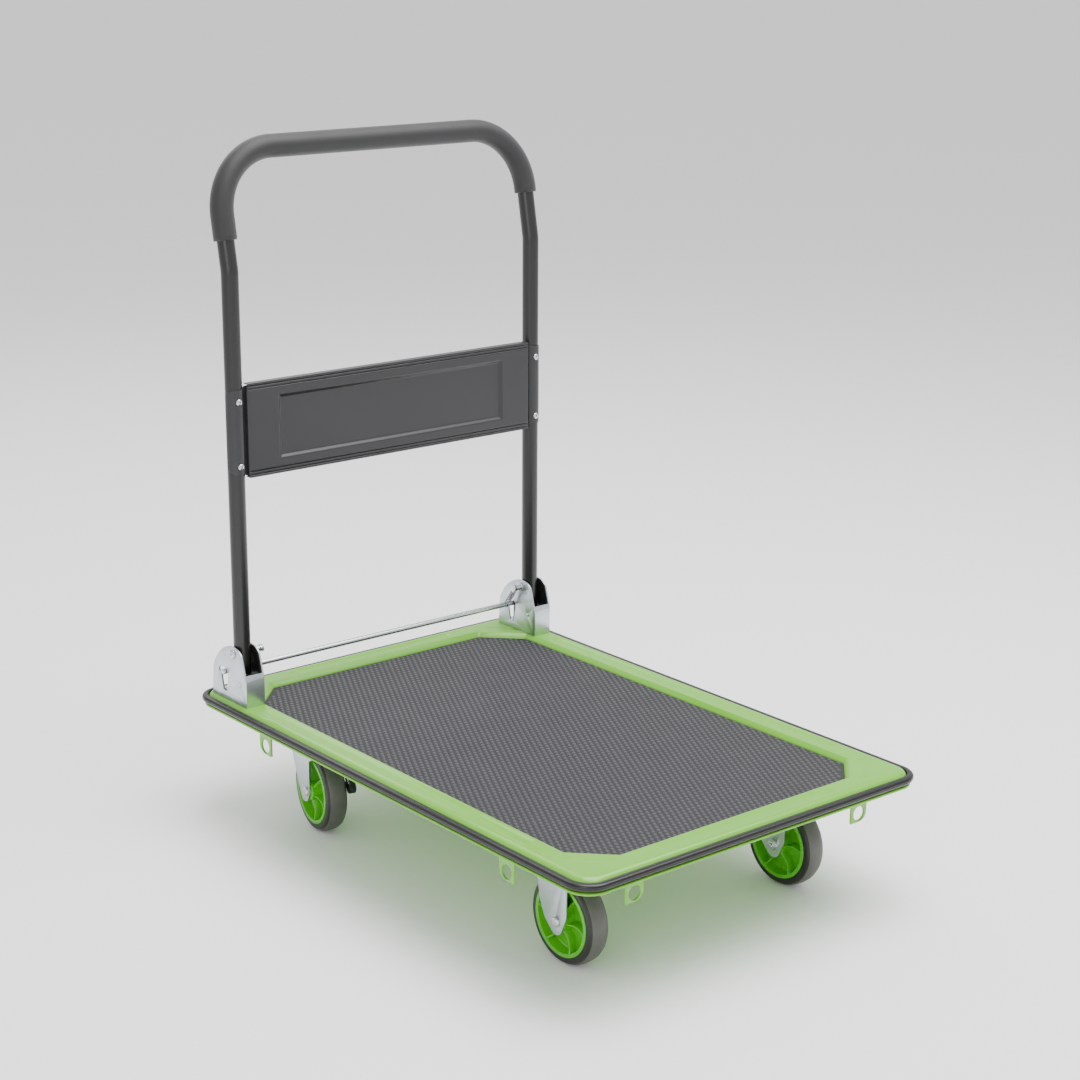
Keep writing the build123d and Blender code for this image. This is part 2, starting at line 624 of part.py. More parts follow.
def make_swivel_caster(side, word):
    """A caster that turns on a kingpin and a ring of balls, with a foot brake at its trailing end."""
    y = side * caster_y
    place = Pos(swivel_x, y, 0) * Rot(0, 0, rear_heading)
    plate_low = caster_height - caster_plate
    boss_low, crown_top, crown = plate_low - 5.0, 137.0, 3.0
    plate = plate_with_holes(swivel_x, y) + rod_z(27, swivel_x, y, boss_low, plate_low)
    keep(f"caster_plate_{word}", plate - rod_z(kingpin_radius, swivel_x, y, 0, handle_height))
    pin = rod_z(kingpin_radius, swivel_x, y, crown_top - crown - 0.4, caster_height)
    pin += rod_z(kingpin_head, swivel_x, y, caster_height, caster_height + 2.2)
    pin += rod_z(kingpin_head, swivel_x, y, crown_top - crown - 3.4, crown_top - crown - 0.4)
    keep("kingpins", pin)
    pivot_x, pivot_z, pin_radius = trail + 21.0, wheel_radius + 64.0, 3.0
    leg = hull_of(
        Pos(trail - 9, wheel_radius - 4) * Circle(14.5),
        Polyline_face((trail - 62, crown_top), (trail + 8.5, crown_top), (trail + 8, wheel_radius - 2), (trail - 62, crown_top - 5)))
    leg += hull_of(Pos(pivot_x, pivot_z) * Circle(7), Pos(trail + 6, pivot_z - 4) * Circle(11))
    crown_face = hull_of(Circle(31), Pos(trail + 8.5 - 35, 0) * Rectangle(70, 2 * fork_outer))
    fork = extrude(Plane.XY.offset(crown_top - crown) * crown_face, amount=crown)
    fork += rod_z(31, 0, 0, crown_top, 149) - rod_z(28.5, 0, 0, crown_top, 149)
    for flank in (-1, 1):
        fork += across(leg, *span(flank, fork_gap / 2, fork_outer))
    fork -= rod_z(kingpin_radius + running_gap, 0, 0, 0, handle_height)
    fork -= rod_y(axle_radius + 0.1, trail, wheel_radius, -fork_gap, fork_gap)
    fork -= rod_y(pin_radius, pivot_x, pivot_z, -fork_gap, fork_gap)
    keep(f"swivel_fork_{word}", place * fork)
    ball = Sphere((boss_low - crown_top) / 2 - 0.1)
    balls = [place * Rot(0, 0, 30 * i) * Pos(20, 0, (boss_low + crown_top) / 2) * ball for i in range(12)]
    keep(f"swivel_balls_{word}", *balls)
    middle = place * Pos(trail, 0, 0)
    centre = middle.position
    keep(f"rear_hub_{word}", make_hub(centre.X, centre.Y, rear_heading))
    keep(f"rear_tyre_{word}", make_tyre(centre.X, centre.Y, rear_heading))
    names = (f"rear_axle_bolt_{word}", f"rear_axle_nut_{word}", f"rear_axle_sleeve_{word}")
    axle_set(side, place * Pos(trail, 0, wheel_radius), names)
    keep(f"brake_pin_{word}", place * rod_y(pin_radius, pivot_x, pivot_z, -fork_outer - 1.5, fork_outer + 1.5))
    lever_half = fork_gap / 2 - 0.8
    hub = Pos(trail, wheel_radius)
    shoe = hub * Polyline_face((21, 68.6), (21, 65.4), (40, 53.0), (42, 56.5))
    boss = Pos(pivot_x, pivot_z) * Circle(pin_radius + 1.6)
    arm = hub * Polyline_face((17, 66), (23, 60), (46, 27), (52, 19), (58, 24), (52, 33), (26, 68))
    lever = across(boss + shoe, -lever_half + 2, lever_half) + across(boss + arm, lever_half - 2.5, lever_half)
    lever -= rod_y(pin_radius + running_gap, pivot_x, pivot_z, -fork_gap, fork_gap)
    keep(f"brake_lever_{word}", place * lever)
    pad = hub * Polyline_face((47, 29), (45.5, 20), (53, 8), (61, 9), (64, 17), (57, 30))
    pad = across(pad, lever_half - 2.5, lever_half + 8)
    pad = fillet(pad.edges().filter_by(Axis.Y).sort_by(Axis.X)[-3:], 1.5)
    keep(f"brake_pedal_{word}", place * (pad - across(hub * Polyline_face((17, 66), (23, 60), (46, 27), (52, 19), (58, 24), (52, 33), (26, 68)), lever_half - 2.5, lever_half)))


# ---------------------------------------------------------------- the whole trolley
make_deck()
make_bumper()
make_members()
make_caster_bolts()
make_eyes()
make_brackets()
make_handle()
make_panel()
for hand, hand_word in ((-1, "right"), (1, "left")):
    make_rigid_caster(hand, hand_word)
    make_swivel_caster(hand, hand_word)

os.makedirs("parts", exist_ok=True)
for node, solids in parts.items():
    pieces = [solid for item in solids for solid in item.solids()]
    shape = pieces[0] if len(pieces) == 1 else Compound(children=pieces)
    export_step(shape, f"parts/{node}.step")
    print(node, len(pieces), round(sum(p.volume for p in pieces)))
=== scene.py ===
"""Folding platform trolley: the visual model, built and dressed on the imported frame.

Every class is one sub-assembly. Sizes are in millimetres in the frame's own axes (+X forward, +Y left, +Z up,
origin on the floor under the deck) and are turned to metres only where a mesh is made.
"""

from __future__ import annotations

import json
import logging
import math
from dataclasses import dataclass, field
from enum import Enum
from typing import Any, Iterable, Sequence

import bmesh
import bpy
import numpy as np
from mathutils import Matrix, Vector

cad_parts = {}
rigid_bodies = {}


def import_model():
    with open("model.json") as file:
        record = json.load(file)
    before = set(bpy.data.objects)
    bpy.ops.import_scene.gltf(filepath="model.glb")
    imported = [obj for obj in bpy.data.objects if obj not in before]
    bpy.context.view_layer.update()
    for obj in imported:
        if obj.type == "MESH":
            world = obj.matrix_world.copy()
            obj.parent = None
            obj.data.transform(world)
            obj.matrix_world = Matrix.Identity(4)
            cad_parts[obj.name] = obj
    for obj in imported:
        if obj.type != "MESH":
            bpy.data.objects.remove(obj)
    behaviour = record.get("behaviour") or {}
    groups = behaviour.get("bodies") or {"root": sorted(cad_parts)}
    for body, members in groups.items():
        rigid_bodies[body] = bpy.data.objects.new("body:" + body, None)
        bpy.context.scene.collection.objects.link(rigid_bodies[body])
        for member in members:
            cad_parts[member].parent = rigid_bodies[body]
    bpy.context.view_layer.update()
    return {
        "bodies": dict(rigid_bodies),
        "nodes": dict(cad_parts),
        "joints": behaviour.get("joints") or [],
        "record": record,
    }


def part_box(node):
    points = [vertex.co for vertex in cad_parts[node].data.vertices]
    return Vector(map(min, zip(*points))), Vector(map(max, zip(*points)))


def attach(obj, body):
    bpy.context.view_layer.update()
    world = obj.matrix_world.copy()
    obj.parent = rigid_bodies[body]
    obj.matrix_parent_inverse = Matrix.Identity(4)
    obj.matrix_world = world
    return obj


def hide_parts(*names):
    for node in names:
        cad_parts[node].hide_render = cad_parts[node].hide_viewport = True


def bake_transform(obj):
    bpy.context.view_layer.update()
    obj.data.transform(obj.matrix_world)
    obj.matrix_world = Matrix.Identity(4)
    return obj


LOG = logging.getLogger("trolley")
MM = 0.001
FRAME: dict[str, Any] = {}
Box = tuple[np.ndarray, np.ndarray]
Shape = tuple[np.ndarray, list[tuple[int, ...]]]
Spot = tuple[float, float, float]


class Body(Enum):
    """Bodies of the frame that hold more than one kind of piece."""

    DECK = "deck_frame"
    HANDLE = "handle"
    LOCK = "lock_bar_body"


class Hand(Enum):
    """The two sides of the trolley, with the sign of their Y."""

    RIGHT = -1
    LEFT = 1

    @property
    def word(self) -> str:
        """The side's name in node and body names."""
        return self.name.lower()


def joint_named(name: str) -> dict[str, Any]:
    """The frame's joint of that name."""
    return next(j for j in FRAME["joints"] if j["name"] == name)


def box_mm(node: str) -> Box:
    """Lowest and highest corner of a CAD node in millimetres."""
    low, high = (np.array(corner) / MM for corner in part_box(node))
    return low, high


def ring_angles(count: int) -> np.ndarray:
    """Evenly spaced angles round a circle."""
    return np.linspace(0, math.tau, count, endpoint=False)


def unit_circle(count: int) -> np.ndarray:
    """Points of a circle of radius 1."""
    angles = ring_angles(count)
    return np.column_stack([np.cos(angles), np.sin(angles)])


# ---------------------------------------------------------------- node and colour helpers
def linear(code: str) -> tuple[float, float, float, float]:
    """Turns an sRGB hex colour into linear RGBA.

    Args:
        code: Colour such as "#7DB343".

    Returns:
        Linear red, green, blue and an alpha of 1.
    """
    values = [int(code[i : i + 2], 16) / 255 for i in (1, 3, 5)]
    red, green, blue = (v / 12.92 if v <= 0.04045 else ((v + 0.055) / 1.055) ** 2.4 for v in values)
    return red, green, blue, 1.0


def add(tree: bpy.types.NodeTree, kind: str, settings: dict[str, Any] | None = None,
        links: dict[str | int, Any] | None = None) -> bpy.types.Node:
    """Adds one node with its settings and its inputs.

    Args:
        tree: Shader or geometry tree that gets the node.
        kind: Node type.
        settings: Attributes of the node.
        links: Input by name or number: a socket is linked to it, anything else becomes its value.

    Returns:
        The new node.
    """
    node = tree.nodes.new(kind)
    for name, value in (settings or {}).items():
        setattr(node, name, value)
    for name, value in (links or {}).items():
        if isinstance(value, bpy.types.NodeSocket):
            tree.links.new(value, node.inputs[name])
        else:
            node.inputs[name].default_value = value
    return node


# ---------------------------------------------------------------- finishes
@dataclass(frozen=True)
class Finish:
    """A surface: one base colour, with a cloudy tone and a fine grain over it."""

    name: str
    colour: str
    shade: str
    roughness: float
    roughness_swing: float = 0.05
    metallic: float = 0.0
    coat: float = 0.0
    coat_roughness: float = 0.1
    sheen: float = 0.0
    cloud_mm: float = 60.0
    grain_mm: float = 1.2
    grain_depth_mm: float = 0.02
    stretch: tuple[float, float, float] = (1.0, 1.0, 1.0)

    def pattern(self, tree: bpy.types.NodeTree, place: bpy.types.NodeSocket) -> bpy.types.NodeSocket:
        """The height pattern of the surface, from 0 to 1."""
        turned = add(tree, "ShaderNodeMapping", None, {"Vector": place, "Scale": self.stretch})
        grain = add(tree, "ShaderNodeTexNoise", None,
                    {"Vector": turned.outputs["Vector"], "Scale": 1 / (self.grain_mm * MM), "Detail": 3.0})
        return grain.outputs["Fac"]

    def make(self) -> bpy.types.Material:
        """Builds the material once and returns it.

        Returns:
            The Blender material named for this finish.
        """
        found = bpy.data.materials.get(self.name)
        if found:
            return found
        material = bpy.data.materials.new(self.name)
        material.use_nodes = True
        tree = material.node_tree
        tree.nodes.clear()
        place = add(tree, "ShaderNodeTexCoord").outputs["Object"]
        cloud = add(tree, "ShaderNodeTexNoise", None,
                    {"Vector": place, "Scale": 1 / (self.cloud_mm * MM), "Detail": 4.0, "Roughness": 0.6})
        height = self.pattern(tree, place)
        tone = add(tree, "ShaderNodeMix", {"data_type": "RGBA"},
                   {0: cloud.outputs["Fac"], 6: linear(self.colour), 7: linear(self.shade)})
        swing = add(tree, "ShaderNodeMapRange", None,
                    {"Value": cloud.outputs["Fac"], "To Min": self.roughness - self.roughness_swing,
                     "To Max": self.roughness + self.roughness_swing})
        bump = add(tree, "ShaderNodeBump", None,
                   {"Height": height, "Distance": self.grain_depth_mm * MM, "Strength": 1.0})
        shader = add(tree, "ShaderNodeBsdfPrincipled", None,
                     {"Base Color": tone.outputs[2], "Roughness": swing.outputs["Result"], "Metallic": self.metallic,
                      "Coat Weight": self.coat, "Coat Roughness": self.coat_roughness, "Sheen Weight": self.sheen,
                      "Normal": bump.outputs["Normal"]})
        add(tree, "ShaderNodeOutputMaterial", None, {"Surface": shader.outputs["BSDF"]})
        return material


@dataclass(frozen=True)
class RolledMetal(Finish):
    """A plated sheet or bar: fine draw lines along one direction under the plating."""

    def pattern(self, tree: bpy.types.NodeTree, place: bpy.types.NodeSocket) -> bpy.types.NodeSocket:
        """Draw lines broken up by a finer grain."""
        base = super().pattern(tree, place)
        long = add(tree, "ShaderNodeMapping", None, {"Vector": place, "Scale": (1.0, 1.0, 14.0)})
        lines = add(tree, "ShaderNodeTexNoise", None,
                    {"Vector": long.outputs["Vector"], "Scale": 1 / (6 * self.grain_mm * MM), "Detail": 5.0})
        both = add(tree, "ShaderNodeMix", {"data_type": "FLOAT"}, {0: 0.5, 2: base, 3: lines.outputs["Fac"]})
        return both.outputs[0]


@dataclass(frozen=True)
class Spatter(Finish):
    """A rubber or vinyl skin: leather-like cells from the roll or the mould."""

    def pattern(self, tree: bpy.types.NodeTree, place: bpy.types.NodeSocket) -> bpy.types.NodeSocket:
        """Rounded cells with a finer grain on them."""
        base = super().pattern(tree, place)
        cells = add(tree, "ShaderNodeTexVoronoi", {"feature": "SMOOTH_F1"},
                    {"Vector": place, "Scale": 1 / (1.6 * self.grain_mm * MM)})
        both = add(tree, "ShaderNodeMix", {"data_type": "FLOAT"}, {0: 0.45, 2: base, 3: cells.outputs["Distance"]})
        return both.outputs[0]


# Apple-green polyester powder coat on steel: glossy, with the faint orange peel of a baked powder.
GREEN_COAT = Finish("green_powder_coat", "#6CB526", "#65AB22", 0.30, 0.04, coat=0.35, coat_roughness=0.12,
                    cloud_mm=90, grain_mm=2.2, grain_depth_mm=0.03)
# Calendered PVC matting: matt dark grey on its ribs, a lighter copy than the ground between them, painted light on the
# rib tops.
VINYL = Spatter("calendered_pvc_mat", "#403F44", "#38373C", 0.55, 0.06, cloud_mm=45, grain_mm=0.9,
                grain_depth_mm=0.03)
# Darker copy of the same PVC for the ground between the ribs: painted shade.
VINYL_PAINTED_SHADE = Spatter("calendered_pvc_ground", "#242327", "#1E1D21", 0.70, 0.05, cloud_mm=45, grain_mm=0.9,
                       grain_depth_mm=0.03)
# Extruded thermoplastic rubber edging: satin black, smooth along its length.
EDGING = Finish("extruded_rubber_edging", "#070808", "#050505", 0.30, 0.06, cloud_mm=25, grain_mm=0.8,
                grain_depth_mm=0.015, stretch=(0.3, 0.3, 1.0))
# Electro-galvanised sheet: pale blue-white zinc with faint clouding from the plating bath.
ZINC = RolledMetal("zinc_plated_steel", "#D5DADF", "#BFC6CE", 0.34, 0.08, metallic=1.0, cloud_mm=18,
                   grain_mm=0.5, grain_depth_mm=0.006)
# The same plating on small turned fasteners, brighter and a little smoother.
ZINC_BRIGHT = Finish("zinc_plated_fastener", "#DADCDD", "#C4C8CB", 0.24, 0.05, metallic=1.0, cloud_mm=6,
                     grain_mm=0.4, grain_depth_mm=0.004)
# Drawn spring wire, oiled: darker and shinier than the plating.
SPRING_WIRE = Finish("drawn_spring_wire", "#A9ABAE", "#8C8E92", 0.22, 0.05, metallic=1.0, cloud_mm=5,
                     grain_mm=0.4, grain_depth_mm=0.003)
# Injection-moulded nylon: deep black with a fine spark-eroded grain.
NYLON = Spatter("moulded_nylon", "#121213", "#0E0E0F", 0.48, 0.05, cloud_mm=20, grain_mm=0.5, grain_depth_mm=0.015)
# Fine-texture charcoal powder coat on tube.
CHARCOAL = Finish("charcoal_powder_coat", "#101011", "#0D0D0E", 0.34, 0.04, coat=0.2, coat_roughness=0.25,
                  cloud_mm=70, grain_mm=1.0, grain_depth_mm=0.02)
# The same coat on the pressed panel, painted a shade lighter: painted light on the flat sheet.
CHARCOAL_SHEET_PAINTED_LIGHT = Finish("charcoal_coated_sheet", "#1E1E21", "#1A1A1D", 0.38, 0.05, coat=0.2, coat_roughness=0.3,
                        cloud_mm=110, grain_mm=1.4, grain_depth_mm=0.02)
# Foamed PVC sleeve: matt, soft, with open pores too fine to see, drawn at 0.8 mm so that they show.
SLEEVE = Spatter("foamed_pvc_sleeve", "#1B1B1D", "#171719", 0.56, 0.06, sheen=0.15, cloud_mm=30, grain_mm=0.8,
                 grain_depth_mm=0.035)
# Moulded polypropylene: saturated green, glossy, light shines a little into its thin ribs.
HUB_PP = Finish("moulded_polypropylene", "#54B51C", "#4DAA19", 0.28, 0.05, coat=0.1, cloud_mm=30, grain_mm=1.5,
                grain_depth_mm=0.012)
# Elastic grey rubber tyre: smooth moulded sides.
TYRE_SIDE = Spatter("elastic_rubber_side", "#1F1D1C", "#191817", 0.42, 0.06, cloud_mm=22, grain_mm=0.8,
                    grain_depth_mm=0.02)
# The rolling face of the same rubber, painted paler: partly floor dust and the grinding of the mould line, partly a
# painted highlight on the crown.
TYRE_TREAD_DUST_AND_HIGHLIGHT = Spatter("elastic_rubber_tread", "#5A5855", "#4C4A48", 0.45, 0.08, cloud_mm=14, grain_mm=0.7,
                     grain_depth_mm=0.04)


# ---------------------------------------------------------------- mesh helpers
def link(name: str, data: bpy.types.ID) -> bpy.types.Object:
    """Makes an object at the origin from a mesh, camera or light."""
    piece = bpy.data.objects.new(name, data)
    bpy.context.scene.collection.objects.link(piece)
    return piece


def smooth(mesh: bpy.types.Mesh, angle: float) -> None:
    """Shades a mesh smoothly, with crisp edges over an angle in degrees."""
    mesh.polygons.foreach_set("use_smooth", [True] * len(mesh.polygons))
    mesh.set_sharp_from_angle(angle=math.radians(angle))


def applied(piece: bpy.types.Object) -> bpy.types.Object:
    """Turns a piece's modifiers into plain mesh."""
    graph = bpy.context.evaluated_depsgraph_get()
    mesh = bpy.data.meshes.new_from_object(piece.evaluated_get(graph), depsgraph=graph)
    piece.modifiers.clear()
    piece.data = mesh
    return piece


def put(name: str, mesh: bpy.types.Mesh, finishes: Sequence[Finish]) -> bpy.types.Object:
    """Makes an object at the origin from a mesh and gives it its finishes."""
    piece = link(name, mesh)
    mesh.materials.clear()
    for finish in finishes:
        mesh.materials.append(finish.make())
    return piece


def solid(name: str, points: Iterable[Sequence[float]], faces: Iterable[Sequence[int]], finishes: Sequence[Finish],
          angle: float = 40.0) -> bpy.types.Object:
    """Makes a piece from points in millimetres.

    Args:
        name: Piece name.
        points: Vertices in millimetres.
        faces: Vertex numbers of each face.
        finishes: Finishes, in slot order.
        angle: Edges sharper than this many degrees stay crisp.

    Returns:
        The object, with outward faces.
    """
    mesh = bpy.data.meshes.new(name)
    mesh.from_pydata([tuple(float(c) * MM for c in p) for p in points], [], [tuple(map(int, f)) for f in faces])
    tidy(mesh, angle)
    return put(name, mesh, finishes)


def tidy(mesh: bpy.types.Mesh, angle: float) -> None:
    """Merges doubles, turns the faces outwards and sets smooth shading with crisp edges over an angle."""
    work = bmesh.new()
    work.from_mesh(mesh)
    bmesh.ops.remove_doubles(work, verts=work.verts, dist=1e-6)
    bmesh.ops.recalc_face_normals(work, faces=work.faces)
    work.to_mesh(mesh)
    work.free()
    smooth(mesh, angle)


def skin(rings: Sequence[np.ndarray], wrap: bool = False, caps: bool = True) -> Shape:
    """Joins closed rings of equal length into one surface.

    Args:
        rings: Arrays of points, one per ring.
        wrap: Joins the last ring to the first.
        caps: Closes the first and last ring with one face each.

    Returns:
        Points and faces.
    """
    count, around = len(rings), len(rings[0])
    index = np.arange(count * around).reshape(count, around)
    turned = np.roll(index, -1, axis=1)
    pairs = [(i, i + 1) for i in range(count - 1)] + ([(count - 1, 0)] if wrap else [])
    faces = [tuple(f) for i, j in pairs for f in np.stack([index[i], turned[i], turned[j], index[j]], 1).tolist()]
    if caps and not wrap:
        faces += [tuple(index[0][::-1].tolist()), tuple(index[-1].tolist())]
    return np.concatenate(rings), faces


def joined(name: str, pieces: Sequence[bpy.types.Object]) -> bpy.types.Object:
    """Joins meshes at the origin into the first one, keeping their materials.

    Args:
        name: Name of the result.
        pieces: Objects to join; all but the first are removed.

    Returns:
        The joined object.
    """
    work = bmesh.new()
    materials: list[bpy.types.Material] = []
    for piece in pieces:
        start = len(work.faces)
        work.from_mesh(piece.data)
        work.faces.ensure_lookup_table()
        slots = []
        for material in piece.data.materials:
            if material not in materials:
                materials.append(material)
            slots.append(materials.index(material))
        for face in work.faces[start:]:
            face.material_index = slots[face.material_index] if slots else 0
    mesh = bpy.data.meshes.new(name)
    work.to_mesh(mesh)
    work.free()
    for piece in pieces:
        bpy.data.objects.remove(piece)
    for material in materials:
        mesh.materials.append(material)
    return link(name, mesh)


def outline(half_x: float, half_y: float, corners: Sequence[float], counts: tuple[int, int, int],
            rounded: bool) -> np.ndarray:
    """A rectangle with rounded or cut corners, as evenly counted points.

    Args:
        half_x: Half its length.
        half_y: Half its width.
        corners: Radius or cut of the corners, from +X+Y round to +X-Y.
        counts: Points on a long side, on a short side and on a corner.
        rounded: Arcs in the corners, or straight cuts.

    Returns:
        Points in X and Y, anticlockwise from the low end of the +X side.
    """
    signs = ((1, 1), (-1, 1), (-1, -1), (1, -1))
    starts, ends, arcs = [], [], []
    for (sx, sy), c, turn in zip(signs, corners, range(4)):
        flat_x, flat_y = (sx * half_x, sy * (half_y - c)), (sx * (half_x - c), sy * half_y)
        first, last = (flat_x, flat_y) if sx * sy > 0 else (flat_y, flat_x)
        t = np.linspace(0, 1, counts[2], endpoint=False)[:, None]
        if rounded and c > 0:
            angle = (turn + t) * math.pi / 2
            arc = np.array([[sx * (half_x - c), sy * (half_y - c)]]) + c * np.hstack([np.cos(angle), np.sin(angle)])
        else:
            arc = np.array([first]) * (1 - t) + np.array([last]) * t
        starts.append(first)
        ends.append(last)
        arcs.append(arc)
    parts = []
    for turn in range(4):
        count = counts[1] if turn % 2 == 0 else counts[0]
        t = np.linspace(0, 1, count, endpoint=False)[:, None]
        parts.append(np.array([ends[turn - 1]]) * (1 - t) + np.array([starts[turn]]) * t)
        parts.append(arcs[turn])
    return np.concatenate(parts)


def lift(flat: np.ndarray, height: float | np.ndarray) -> np.ndarray:
    """Gives flat points their height."""
    return np.column_stack([flat, np.broadcast_to(height, len(flat))])


def bent_line(corners: Sequence[Sequence[float]], radii: Sequence[float], step: float = 3.0) -> np.ndarray:
    """A line of straight runs and arcs.

    Args:
        corners: Points, with an arc at every one but the ends.
        radii: Radius of each arc.
        step: Degrees between points on an arc.

    Returns:
        Points along it.
    """
    points = [Vector(corners[0])]
    for before, corner, after, radius in zip(corners, corners[1:], corners[2:], radii):
        here = Vector(corner)
        back, on = (Vector(before) - here).normalized(), (Vector(after) - here).normalized()
        half = back.angle(on) / 2
        reach, middle = radius / math.tan(half), (back + on).normalized() * radius / math.sin(half)
        start, sweep = here + back * reach - (here + middle), math.pi - 2 * half
        axis = start.cross(here + on * reach - (here + middle)).normalized()
        count = max(2, round(math.degrees(sweep) / step))
        points += [here + middle + Matrix.Rotation(sweep * i / count, 3, axis) @ start for i in range(count + 1)]
    points.append(Vector(corners[-1]))
    return np.array([tuple(p) for p in points])


def tube(path: np.ndarray, radii: float | Sequence[float], sides: int) -> Shape:
    """Sweeps a circle along a line without twisting it.

    Args:
        path: Points of the line.
        radii: One radius, or one for each point.
        sides: Points round the circle.

    Returns:
        Points and faces of the closed tube.
    """
    radii = np.broadcast_to(radii, len(path))
    tangents = np.gradient(path, axis=0)
    tangents /= np.linalg.norm(tangents, axis=1)[:, None]
    first = Vector(tangents[0])
    across = first.orthogonal().normalized()
    rings = []
    for point, tangent, radius in zip(path, tangents, radii):
        across = (across - across.dot(Vector(tangent)) * Vector(tangent)).normalized()
        other = Vector(tangent).cross(across)
        angles = np.linspace(0, 2 * math.pi, sides, endpoint=False)[:, None]
        rings.append(point + radius * (np.cos(angles) * np.array(across) + np.sin(angles) * np.array(other)))
    return skin(rings)


def turned(profile: Sequence[tuple[float, float]], steps: int) -> Shape:
    """Spins a closed profile of (radius, y) points round the Y axis."""
    rings = []
    for i in range(steps):
        angle = 2 * math.pi * i / steps
        rings.append(np.array([(r * math.cos(angle), y, r * math.sin(angle)) for r, y in profile]))
    return skin(rings, wrap=True)


def islands(node: str) -> list[Box]:
    """The boxes of a node's separate solids.

    Args:
        node: CAD node name.

    Returns:
        Lowest and highest corner of each solid in millimetres, sorted by position.
    """
    work = bmesh.new()
    work.from_mesh(bpy.data.objects[node].data)
    bmesh.ops.remove_doubles(work, verts=work.verts, dist=1e-6)
    seen: set[bmesh.types.BMVert] = set()
    found = []
    for vert in work.verts:
        if vert in seen:
            continue
        stack, group = [vert], []
        seen.add(vert)
        while stack:
            here = stack.pop()
            group.append(tuple(here.co))
            for edge in here.link_edges:
                other = edge.other_vert(here)
                if other not in seen:
                    seen.add(other)
                    stack.append(other)
        cloud = np.array(group) / MM
        found.append((cloud.min(0), cloud.max(0)))
    work.free()
    return sorted(found, key=lambda box: tuple(np.round(box[0], 2)))


def refine(node: str, finish: Finish, bevel: float = 0.4) -> bpy.types.Object:
    """Makes a finished piece from a copy of a CAD node: flat faces merged and every sharp edge rounded.

    Args:
        node: CAD node name.
        finish: Its finish.
        bevel: Width of the rounded edge in millimetres.

    Returns:
        The new piece.
    """
    name = f"{node}_finished"
    mesh = bpy.data.objects[node].data.copy()
    work = bmesh.new()
    work.from_mesh(mesh)
    bmesh.ops.remove_doubles(work, verts=work.verts, dist=1e-6)
    bmesh.ops.dissolve_limit(work, angle_limit=math.radians(0.6), verts=work.verts, edges=work.edges)
    work.to_mesh(mesh)
    work.free()
    piece = put(name, mesh, [finish])
    rounding = piece.modifiers.new("Edges", "BEVEL")
    rounding.width = bevel * MM
    rounding.segments = 2
    rounding.limit_method = "ANGLE"
    rounding.angle_limit = math.radians(38)
    rounding.use_clamp_overlap = False
    smooth(applied(piece).data, 50)
    return piece


def grow(name: str, holder: bpy.types.Mesh, tree: bpy.types.NodeTree, values: dict[str, Any]) -> bpy.types.Object:
    """Runs a geometry tree on a mesh and keeps the result as a plain mesh.

    Args:
        name: Piece name.
        holder: Mesh the tree starts from.
        tree: Geometry tree.
        values: Value of each named input.

    Returns:
        The piece, with no modifier on it.
    """
    piece = link(name, holder)
    modifier = piece.modifiers.new("Rule", "NODES")
    modifier.node_group = tree
    for item in tree.interface.items_tree:
        if item.item_type == "SOCKET" and item.in_out == "INPUT" and item.name in values:
            modifier[item.identifier] = values[item.name]
    return applied(piece)


def new_rule(name: str, inputs: Sequence[tuple[str, str]]
             ) -> tuple[bpy.types.NodeTree, dict[str, bpy.types.NodeSocket]]:
    """Starts a geometry tree.

    Args:
        name: Tree name.
        inputs: Name and socket type of each input after the geometry.

    Returns:
        The tree and its input sockets by name.
    """
    tree = bpy.data.node_groups.new(name, "GeometryNodeTree")
    tree.interface.new_socket("Geometry", in_out="INPUT", socket_type="NodeSocketGeometry")
    tree.interface.new_socket("Geometry", in_out="OUTPUT", socket_type="NodeSocketGeometry")
    for label, kind in inputs:
        tree.interface.new_socket(label, in_out="INPUT", socket_type=kind)
    start = add(tree, "NodeGroupInput")
    return tree, {s.name: s for s in start.outputs if s.name}


def end_rule(tree: bpy.types.NodeTree, shape: bpy.types.NodeSocket, finish: Finish) -> bpy.types.NodeTree:
    """Ends a geometry tree with Realize Instances and Set Material."""
    real = add(tree, "GeometryNodeRealizeInstances", None, {"Geometry": shape})
    dressed = add(tree, "GeometryNodeSetMaterial", None, {"Geometry": real.outputs[0], "Material": finish.make()})
    add(tree, "NodeGroupOutput", None, {"Geometry": dressed.outputs[0]})
    return tree


def repeat_at_points(finish: Finish) -> bpy.types.NodeTree:
    """A rule that sets a copy of one object on every point, its Z axis along the point's facing."""
    tree, given = new_rule(f"copies_{finish.name}", [("Copy", "NodeSocketObject"), ("Turn", "NodeSocketFloat")])
    copy = add(tree, "GeometryNodeObjectInfo", None, {"Object": given["Copy"]})
    facing = add(tree, "GeometryNodeInputNamedAttribute", {"data_type": "FLOAT_VECTOR"}, {"Name": "facing"})
    aim = add(tree, "FunctionNodeAlignRotationToVector", {"axis": "Z"}, {"Vector": facing.outputs[0]})
    spin = add(tree, "ShaderNodeCombineXYZ", None, {"Z": given["Turn"]})
    own = add(tree, "FunctionNodeEulerToRotation", None, {0: spin.outputs[0]})
    both = add(tree, "FunctionNodeRotateRotation", {"rotation_space": "LOCAL"},
               {"Rotation": aim.outputs[0], "Rotate By": own.outputs[0]})
    placed = add(tree, "GeometryNodeInstanceOnPoints", None,
                 {"Points": given["Geometry"], "Instance": copy.outputs["Geometry"], "Rotation": both.outputs[0]})
    return end_rule(tree, placed.outputs[0], finish)


